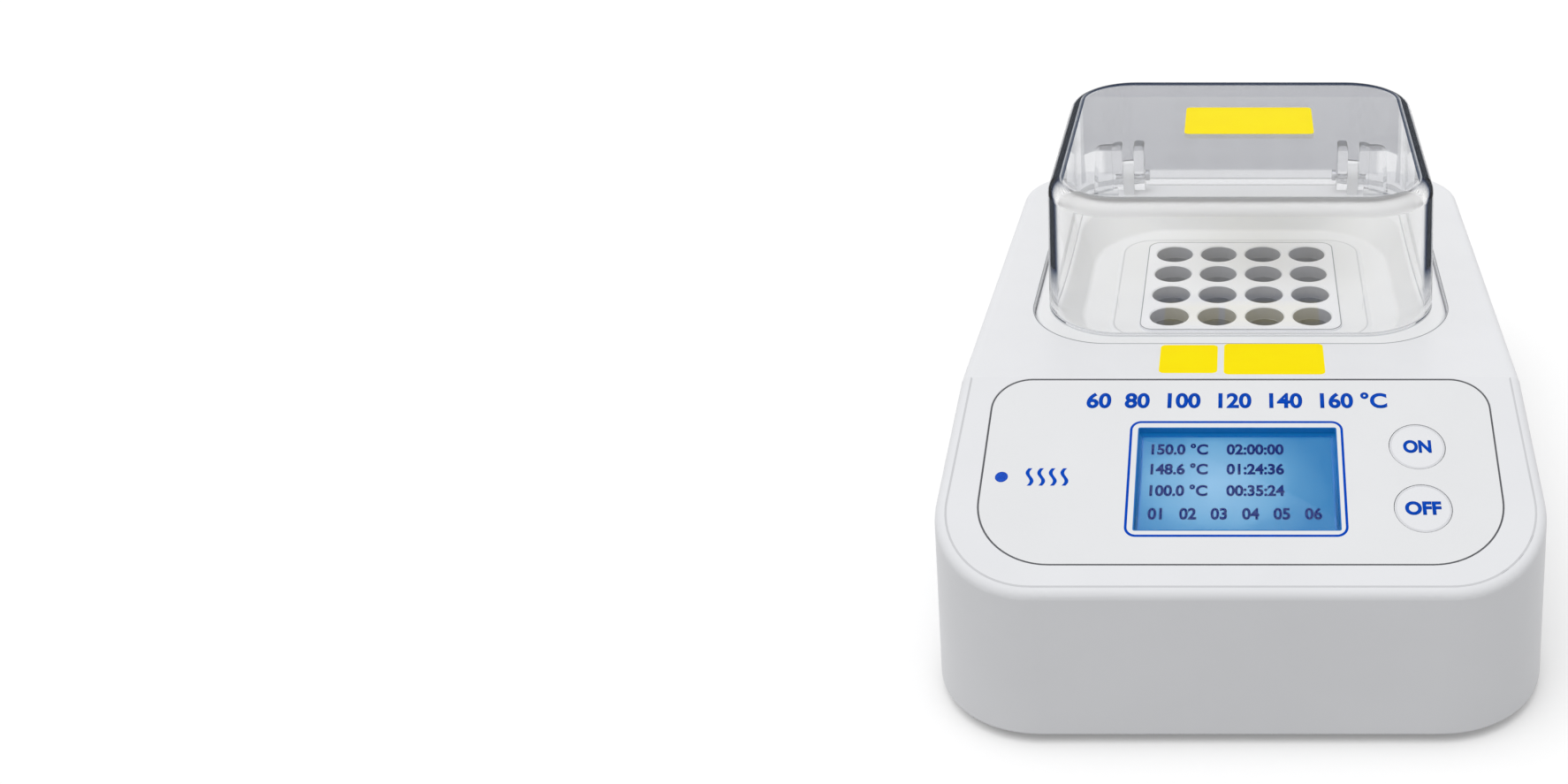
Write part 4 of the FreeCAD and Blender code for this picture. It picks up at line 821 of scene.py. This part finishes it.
def screenFinish(name, middle):
    material, tree = startMaterial(name)
    spread = screenLook["spread"]
    place = onObject(tree, tuple(1 / s for s in spread), tuple(-c / s for c, s in zip(middle, spread)))
    glow = tree.nodes.new("ShaderNodeTexGradient")
    glow.gradient_type = "SPHERICAL"
    tree.links.new(place, glow.inputs["Vector"])
    haze = noiseOn(tree, onObject(tree), screenLook["hazePatch"])
    haze = ranged(tree, haze, -screenLook["haze"], screenLook["haze"])
    share = combined(tree, "ADD", glow.outputs["Fac"], haze)
    central = rises(tree, share, *screenLook["centreFrom"])
    inner = mixed(tree, central, tone(*screenLook["middle"]), tone(*screenLook["centre"]))
    colour = mixed(tree, rises(tree, share, *screenLook["edgeTo"]), tone(*screenLook["edge"]), inner)
    feed(tree, "Emission Color", colour)
    shaderOf(tree)["Emission Strength"].default_value = screenLook["glow"]
    shaderOf(tree)["Base Color"].default_value = tone(*screenLook["unlit"])
    shaderOf(tree)["Specular IOR Level"].default_value = screenLook["gloss"]
    dots = waveOn(tree, onObject(tree), screenLook["dots"], "X")
    feed(tree, "Roughness", ranged(tree, dots, *screenLook["rough"], 0.0, 1.0))
    relief(tree, dots, screenLook["depth"])
    return material


# Display: a blue liner in the opening, a sheet of painted shade on its walls, the screen, and the printed
# line round the opening
displayLook = {
    "windowLap": 0.002,
    "linerWall": 0.0004,
    "linerCorner": 0.0008,
    "linerSteps": 4,
    "screenMargin": 0.0021,
    "screenThickness": 0.0003,
    "screenCorner": 0.0004,
    "screenSteps": 3,
    "rimDepth": 0.0006,
    "line": 0.00095,
    "lineWidth": 0.0792,
    "lineHeight": 0.052,
    "lineCorner": 0.0042,
    "lineSteps": 12,
    "lineLeft": 0.0003,
    "lineRaised": 0.0002,
}
windowLow, windowHigh = consoleSpan("display_window")
openingWidth = windowHigh.x - windowLow.x - 2 * displayLook["windowLap"]
openingHeight = windowHigh.y - windowLow.y - 2 * displayLook["windowLap"]
displayX = (windowHigh.x + windowLow.x) / 2
displayDown = (windowHigh.y + windowLow.y) / 2
screenLift = consoleSpan("lcd_module")[1].z - displayLook["rimDepth"]
screenMiddle = consolePlace(displayX - screenLook["left"], displayDown, screenLift).translation
finishFor["screen_lit"] = screenFinish("screen_lit", screenMiddle)


def makeDisplay():
    # the liner is a sheet of painted shade over the opening's walls
    liner = flatPlate(openingWidth, openingHeight, displayLook["linerCorner"], displayLook["linerSteps"])
    hollowOut(liner, displayLook["linerWall"])
    thicken(liner, windowHigh.z, 0.0)
    place = consolePlace(displayX, displayDown)
    finishPiece("display_shade_liner", liner, place, "base", "liner_painted_shade")

    width, height = (size - 2 * displayLook["screenMargin"] for size in (openingWidth, openingHeight))
    screen = flatPlate(width, height, displayLook["screenCorner"], displayLook["screenSteps"])
    thicken(screen, 0.0, displayLook["screenThickness"])
    place = consolePlace(displayX, displayDown, screenLift)
    finishPiece("display_screen", screen, place, "base", "screen_lit")

    width, height, corner = (displayLook[key] for key in ("lineWidth", "lineHeight", "lineCorner"))
    line = flatPlate(width, height, corner, displayLook["lineSteps"])
    hollowOut(line, displayLook["line"])
    place = consolePlace(displayX - displayLook["lineLeft"], displayDown - displayLook["lineRaised"])
    finishPiece("display_line", printed(line), place, "base", "ink_blue")


# Figures on the display: x and down from the screen's middle, height of the figures
figureLook = {
    "lift": 0.00032,
    "weight": 0.034,
    "height": 0.0052,
    "rows": {
        "figures_set": {"words": "150.0 °C    02:00:00", "x": -0.0073, "down": -0.0156, "width": 0.0490},
        "figures_now": {"words": "148.6 °C    01:24:36", "x": -0.0073, "down": -0.0065, "width": 0.0490},
        "figures_left": {"words": "100.0 °C    00:35:24", "x": -0.0073, "down": 0.0032, "width": 0.0490},
        "figures_rows": {
            "words": "01   02   03   04   05   06", "x": -0.0008, "down": 0.0135, "width": 0.0625
        },
    },
}


def makeFigures():
    for name, row in figureLook["rows"].items():
        shape = lettering(row["words"], row["width"], figureLook["height"], figureLook["weight"])
        place = consolePlace(displayX + row["x"], displayDown + row["down"], screenLift + figureLook["lift"])
        finishPiece(name, shape, place, "base", "segment_blue")


makeDisplay()
makeFigures()
print("display made")


# Panel gap: a dark bead in the groove round the console plate, laid there as painted shade of the gap
sealShadeLook = {
    "grow": 0.00062,
    "gap": 0.00004,
    "low": 0.0,
    "high": 0.00006,
    "topCorner": 0.0146,
    "lowCorner": 0.0276,
    "flat": 0.0001,
}


def makeGapShade():
    lift = consoleSpan("control_panel")[1].z
    low, high = consoleSpan("control_panel")
    faceLow, faceHigh = consoleSpan("control_panel", lift, sealShadeLook["flat"])
    width = high.x - low.x + 2 * sealShadeLook["grow"]
    height = faceHigh.y - faceLow.y + 2 * sealShadeLook["grow"]
    bead = flatPlate(width, height, sealShadeLook["topCorner"], roundSteps, sealShadeLook["lowCorner"])
    hollowOut(bead, sealShadeLook["grow"] - sealShadeLook["gap"])
    thicken(bead, sealShadeLook["low"], sealShadeLook["high"])
    place = consolePlace((low.x + high.x) / 2, (faceLow.y + faceHigh.y) / 2)
    # the bead is painted shade
    finishPiece("panel_gap_shade", bead, place, "base", "seal_shade_grey")


# Shadow lines: the joint round the well plate and the edge of the deck round the tray
jointShadowLook = {
    "plate_shadow_line": {
        "around": "well_plate", "on": "well_plate", "grow": -0.0001, "line": 0.00042, "radius": 0.0059
    },
    "tray_shadow_line": {"around": "well_tray", "on": "housing", "grow": 0.0008, "line": 0.00045, "radius": 0.0338},
}


def levelBand(name, width, depth, look, around, top, finish):
    # a thin line of painted shade round the middle of a node, at a level
    low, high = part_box(around)
    band = flatPlate(width, depth, look["radius"], roundSteps)
    hollowOut(band, look["line"])
    place = Matrix.Translation(((low[0] + high[0]) / 2, (low[1] + high[1]) / 2, top))
    finishPiece(name, printed(band), place, "base", finish)


def makeJointShadowLines():
    for name, look in jointShadowLook.items():
        low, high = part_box(look["around"])
        width, depth = (high[axis] - low[axis] + 2 * look["grow"] for axis in (0, 1))
        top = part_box(look["on"])[1][2]
        # each line is painted shadow
        levelBand(name, width, depth, look, look["around"], top, "joint_shadow_grey")


# Step line: painted shade along the faint edge of the raised floor that the well plate stands on
stepShadeLook = {"width": 0.1096, "depth": 0.0956, "line": 0.0007, "radius": 0.0138, "down": 0.001}


def makeStepShadeLine():
    width, depth = stepShadeLook["width"], stepShadeLook["depth"]
    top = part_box("well_plate")[1][2] - stepShadeLook["down"]
    levelBand("step_shade_line", width, depth, stepShadeLook, "well_plate", top, "step_shade_grey")


# Front crease: a line of painted shade where the sloped face turns down to the walls
creaseShadeLook = {"line": 0.00075, "from": 0.002, "flat": 0.00002, "levelReach": 0.01, "panelReach": 0.002}


def makeCreaseShade():
    highest = consoleSpan("control_panel")[1]
    core = sealShadeLook["lowCorner"]
    shape = bmesh.new()
    shape.from_mesh(frame["nodes"]["housing"].data)
    shape.transform(consolePlace(0, 0).inverted())
    beside = [v.co for v in shape.verts if abs(v.co.y + highest.y) < creaseShadeLook["levelReach"]]
    level = max(point.z for point in beside if abs(point.x) < highest.x)
    around = [f for f in shape.faces if max(abs(v.co.z - level) for v in f.verts) > creaseShadeLook["flat"]]
    bmesh.ops.delete(shape, geom=around, context="FACES")
    band = bmesh.ops.inset_region(
        shape, faces=shape.faces[:], thickness=creaseShadeLook["line"], use_even_offset=True, use_boundary=True
    )
    kept = set(band["faces"])
    spare = []
    for face in shape.faces:
        middle = face.calc_center_median()
        across = max(abs(middle.x) - highest.x + core, 0.0)
        down = max(-middle.y - highest.y + core, 0.0)
        inner = math.hypot(across, down) < core + creaseShadeLook["panelReach"]
        if face not in kept or inner or -middle.y < creaseShadeLook["from"]:
            spare.append(face)
    bmesh.ops.delete(shape, geom=spare, context="FACES")
    finishPiece("front_crease_shade", printed(shape), consolePlace(0, 0), "base", "crease_shade_grey")


# Console prints: a scale of plain numbers over the display
scaleLook = {
    "words": "60  80  100  120  140  160 °C",
    "width": 0.1135,
    "height": 0.0078,
    "down": 0.0099,
    "x": -0.0015,
    "weight": 0.034,
}


def makeScale():
    shape = lettering(scaleLook["words"], scaleLook["width"], scaleLook["height"], scaleLook["weight"])
    place = consolePlace(scaleLook["x"], scaleLook["down"])
    finishPiece("scale_numbers", shape, place, "base", "ink_blue")


# Buttons: a grey ring round each cap and its word, with the word's width
buttonLook = {"ring": 0.0005, "inset": 0.00002, "height": 0.0060, "weight": 0.044, "flat": 0.00001}
buttonWords = {"on_button": ("ON", 0.0104), "off_button": ("OFF", 0.0130)}


def makeButtonMarks(node):
    words, width = buttonWords[node]
    lift = consoleSpan(node)[1].z
    capLow, capHigh = consoleSpan(node, lift, buttonLook["flat"])
    middle = (capLow + capHigh) / 2
    place = consolePlace(middle.x, middle.y, lift)
    ring = flatDisc((capHigh.x - capLow.x) / 2 - buttonLook["inset"])
    hollowOut(ring, buttonLook["ring"])
    finishPiece(node + "_ring", printed(ring), place, node, "ink_grey")
    mark = lettering(words, width, buttonLook["height"], buttonLook["weight"])
    finishPiece(node + "_mark", mark, place, node, "ink_blue")


# Heat sign beside the lamp: wavy strokes, each drawn upwards step by step
heatLook = {
    "x": -0.0702,
    "waves": 4,
    "pitch": 0.0042,
    "length": 0.0078,
    "swing": 0.0009,
    "line": 0.0007,
    "steps": 18,
}


def makeHeatSign():
    low, high = consoleSpan("heating_lamp")
    down = (low.y + high.y) / 2 + heatLook["length"] / 2
    steps = heatLook["steps"]
    swings = [heatLook["swing"] * math.sin(step / steps * 2 * math.pi) for step in range(steps + 1)]
    for wave in range(heatLook["waves"]):
        shape = bmesh.new()
        start = [shape.verts.new((side * heatLook["line"], 0, 0)) for side in (-1, 1)]
        edges = [shape.edges.new(start)]
        for before, after in zip(swings, swings[1:]):
            pulled = bmesh.ops.extrude_edge_only(shape, edges=edges)
            points = [part for part in pulled["geom"] if isinstance(part, bmesh.types.BMVert)]
            edges = [part for part in pulled["geom"] if isinstance(part, bmesh.types.BMEdge)]
            bmesh.ops.translate(shape, verts=points, vec=(after - before, heatLook["length"] / steps, 0))
        x = heatLook["x"] + heatLook["pitch"] * (wave - (heatLook["waves"] - 1) / 2)
        place = consolePlace(x, down)
        finishPiece(f"heat_sign_{wave + 1}", printed(shape), place, "base", "ink_blue")


makeGapShade()
makeJointShadowLines()
makeStepShadeLine()
makeCreaseShade()
makeScale()
for node in buttonWords:
    makeButtonMarks(node)
makeHeatSign()
print("console prints made")


# Plain yellow labels, on the deck and on the lid
labelCorner = 0.0021
labelLook = {
    "deck_label": {
        "x": 0.013, "y": -0.040, "width": 0.0392, "depth": 0.024, "node": "housing", "body": "base"
    },
    "deck_square": {
        "x": -0.0204, "y": -0.040, "width": 0.0226, "depth": 0.022, "node": "housing", "body": "base"
    },
    "lid_label": {"x": 0.0036, "y": 0.07315, "width": 0.0558, "depth": 0.0327, "node": "lid", "body": "lid"},
}


def makeLabels():
    for name, look in labelLook.items():
        plate = flatPlate(look["width"], look["depth"], labelCorner)
        place = Matrix.Translation((look["x"], look["y"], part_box(look["node"])[1][2]))
        finishPiece(name, printed(plate), place, look["body"], "label_yellow")


makeLabels()
print("labels made")


# Rear marks: the line and the ring on the rocker's two halves
rockerLook = {
    "line": 0.0009,
    "tall": 0.0042,
    "corner": 0.0002,
    "cornerSteps": 2,
    "ring": 0.0021,
    "ringSteps": 48,
    "rim": 0.0006,
    "spread": 0.0052,
    "from": 0.05,
}


def makeRockerMarks():
    low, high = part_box("switch_rocker")
    x = (low[0] + high[0]) / 2
    z = (low[2] + high[2]) / 2
    start = high[1] + rockerLook["from"]
    upper, lower = (
        struckPlace("switch_rocker", (x, start, z + rise), (0, -1, 0))
        for rise in (rockerLook["spread"], -rockerLook["spread"])
    )
    bar = flatPlate(rockerLook["line"], rockerLook["tall"], rockerLook["corner"], rockerLook["cornerSteps"])
    finishPiece("rocker_line", printed(bar), upper, "rocker", "ink_white")
    ring = flatDisc(rockerLook["ring"], rockerLook["ringSteps"])
    hollowOut(ring, rockerLook["rim"])
    finishPiece("rocker_ring", printed(ring), lower, "rocker", "ink_white")


makeRockerMarks()
print("rear marks made")


# Stage: a pale floor that looks white, with the object's shadow, and bounces less than that
stageLook = {"reach": 60.0, "bounce": 0.41, "seen": 0.86, "lift": 0.17}


def seenDirectly(tree):
    path = tree.nodes.new("ShaderNodeLightPath")
    rays = [path.outputs[name] for name in ("Is Camera Ray", "Is Glossy Ray", "Is Transmission Ray")]
    return combined(tree, "MAXIMUM", *rays)


def makeFloor():
    material, tree = startMaterial("floor_white")
    shaderOf(tree)["Base Color"].default_value = (stageLook["seen"],) * 3 + (1.0,)
    shaderOf(tree)["Roughness"].default_value = 1.0
    shaderOf(tree)["Specular IOR Level"].default_value = 0.0
    shaderOf(tree)["Emission Color"].default_value = fullWhite
    shaderOf(tree)["Emission Strength"].default_value = stageLook["lift"]
    plain = tree.nodes.new("ShaderNodeBsdfDiffuse")
    plain.inputs["Color"].default_value = (stageLook["bounce"],) * 3 + (1.0,)
    shown = tree.nodes["Principled BSDF"].outputs["BSDF"]
    joinShaders(tree, seenDirectly(tree), plain.outputs["BSDF"], shown)
    shape = bmesh.new()
    bmesh.ops.create_grid(shape, x_segments=1, y_segments=1, size=stageLook["reach"] / 2)
    mesh = bpy.data.meshes.new("floor")
    shape.to_mesh(mesh)
    shape.free()
    mesh.materials.append(material)
    floor = bpy.data.objects.new("floor", mesh)
    bpy.context.scene.collection.objects.link(floor)


# Light: an even sky and one wide, soft lamp overhead
lightLook = {"sky": 0.56, "lamp": 1.42, "softness": 55.0, "lean": 8.0, "side": -10.0}


def makeLight():
    world = bpy.data.worlds.new("studio")
    bpy.context.scene.world = world
    world.use_nodes = True
    tree = world.node_tree
    background = tree.nodes["Background"]
    background.inputs["Color"].default_value = fullWhite
    strength = ranged(tree, seenDirectly(tree), lightLook["sky"], 1.0, 0.0, 1.0)
    tree.links.new(strength, background.inputs["Strength"])
    lamp = bpy.data.lights.new("overhead", "SUN")
    lamp.energy = lightLook["lamp"]
    lamp.angle = math.radians(lightLook["softness"])
    holder = bpy.data.objects.new("overhead", lamp)
    holder.rotation_euler = (math.radians(lightLook["lean"]), math.radians(lightLook["side"]), 0)
    holder.visible_glossy = False
    bpy.context.scene.collection.objects.link(holder)


# Camera: straight in front of the object and above it, the frame slid so that it stands at the right
cameraLook = {
    "back": 0.5263,
    "height": 0.3757,
    "pitch": 58.855,
    "focal": 1618.37,
    "frameWidth": 1774,
    "slide": -0.2913,
}


def makeCamera():
    camera = bpy.data.cameras.new("camera")
    camera.sensor_width = 36.0
    camera.lens = camera.sensor_width * cameraLook["focal"] / cameraLook["frameWidth"]
    camera.shift_x = cameraLook["slide"]
    camera.clip_end = 200.0
    holder = bpy.data.objects.new("camera", camera)
    holder.location = (0, -cameraLook["back"], cameraLook["height"])
    holder.rotation_euler = (math.radians(cameraLook["pitch"]), 0, 0)
    bpy.context.scene.collection.objects.link(holder)
    bpy.context.scene.camera = holder


makeFloor()
makeLight()
makeCamera()
bpy.context.scene.view_settings.view_transform = "Standard"
print("stage, light and camera set")
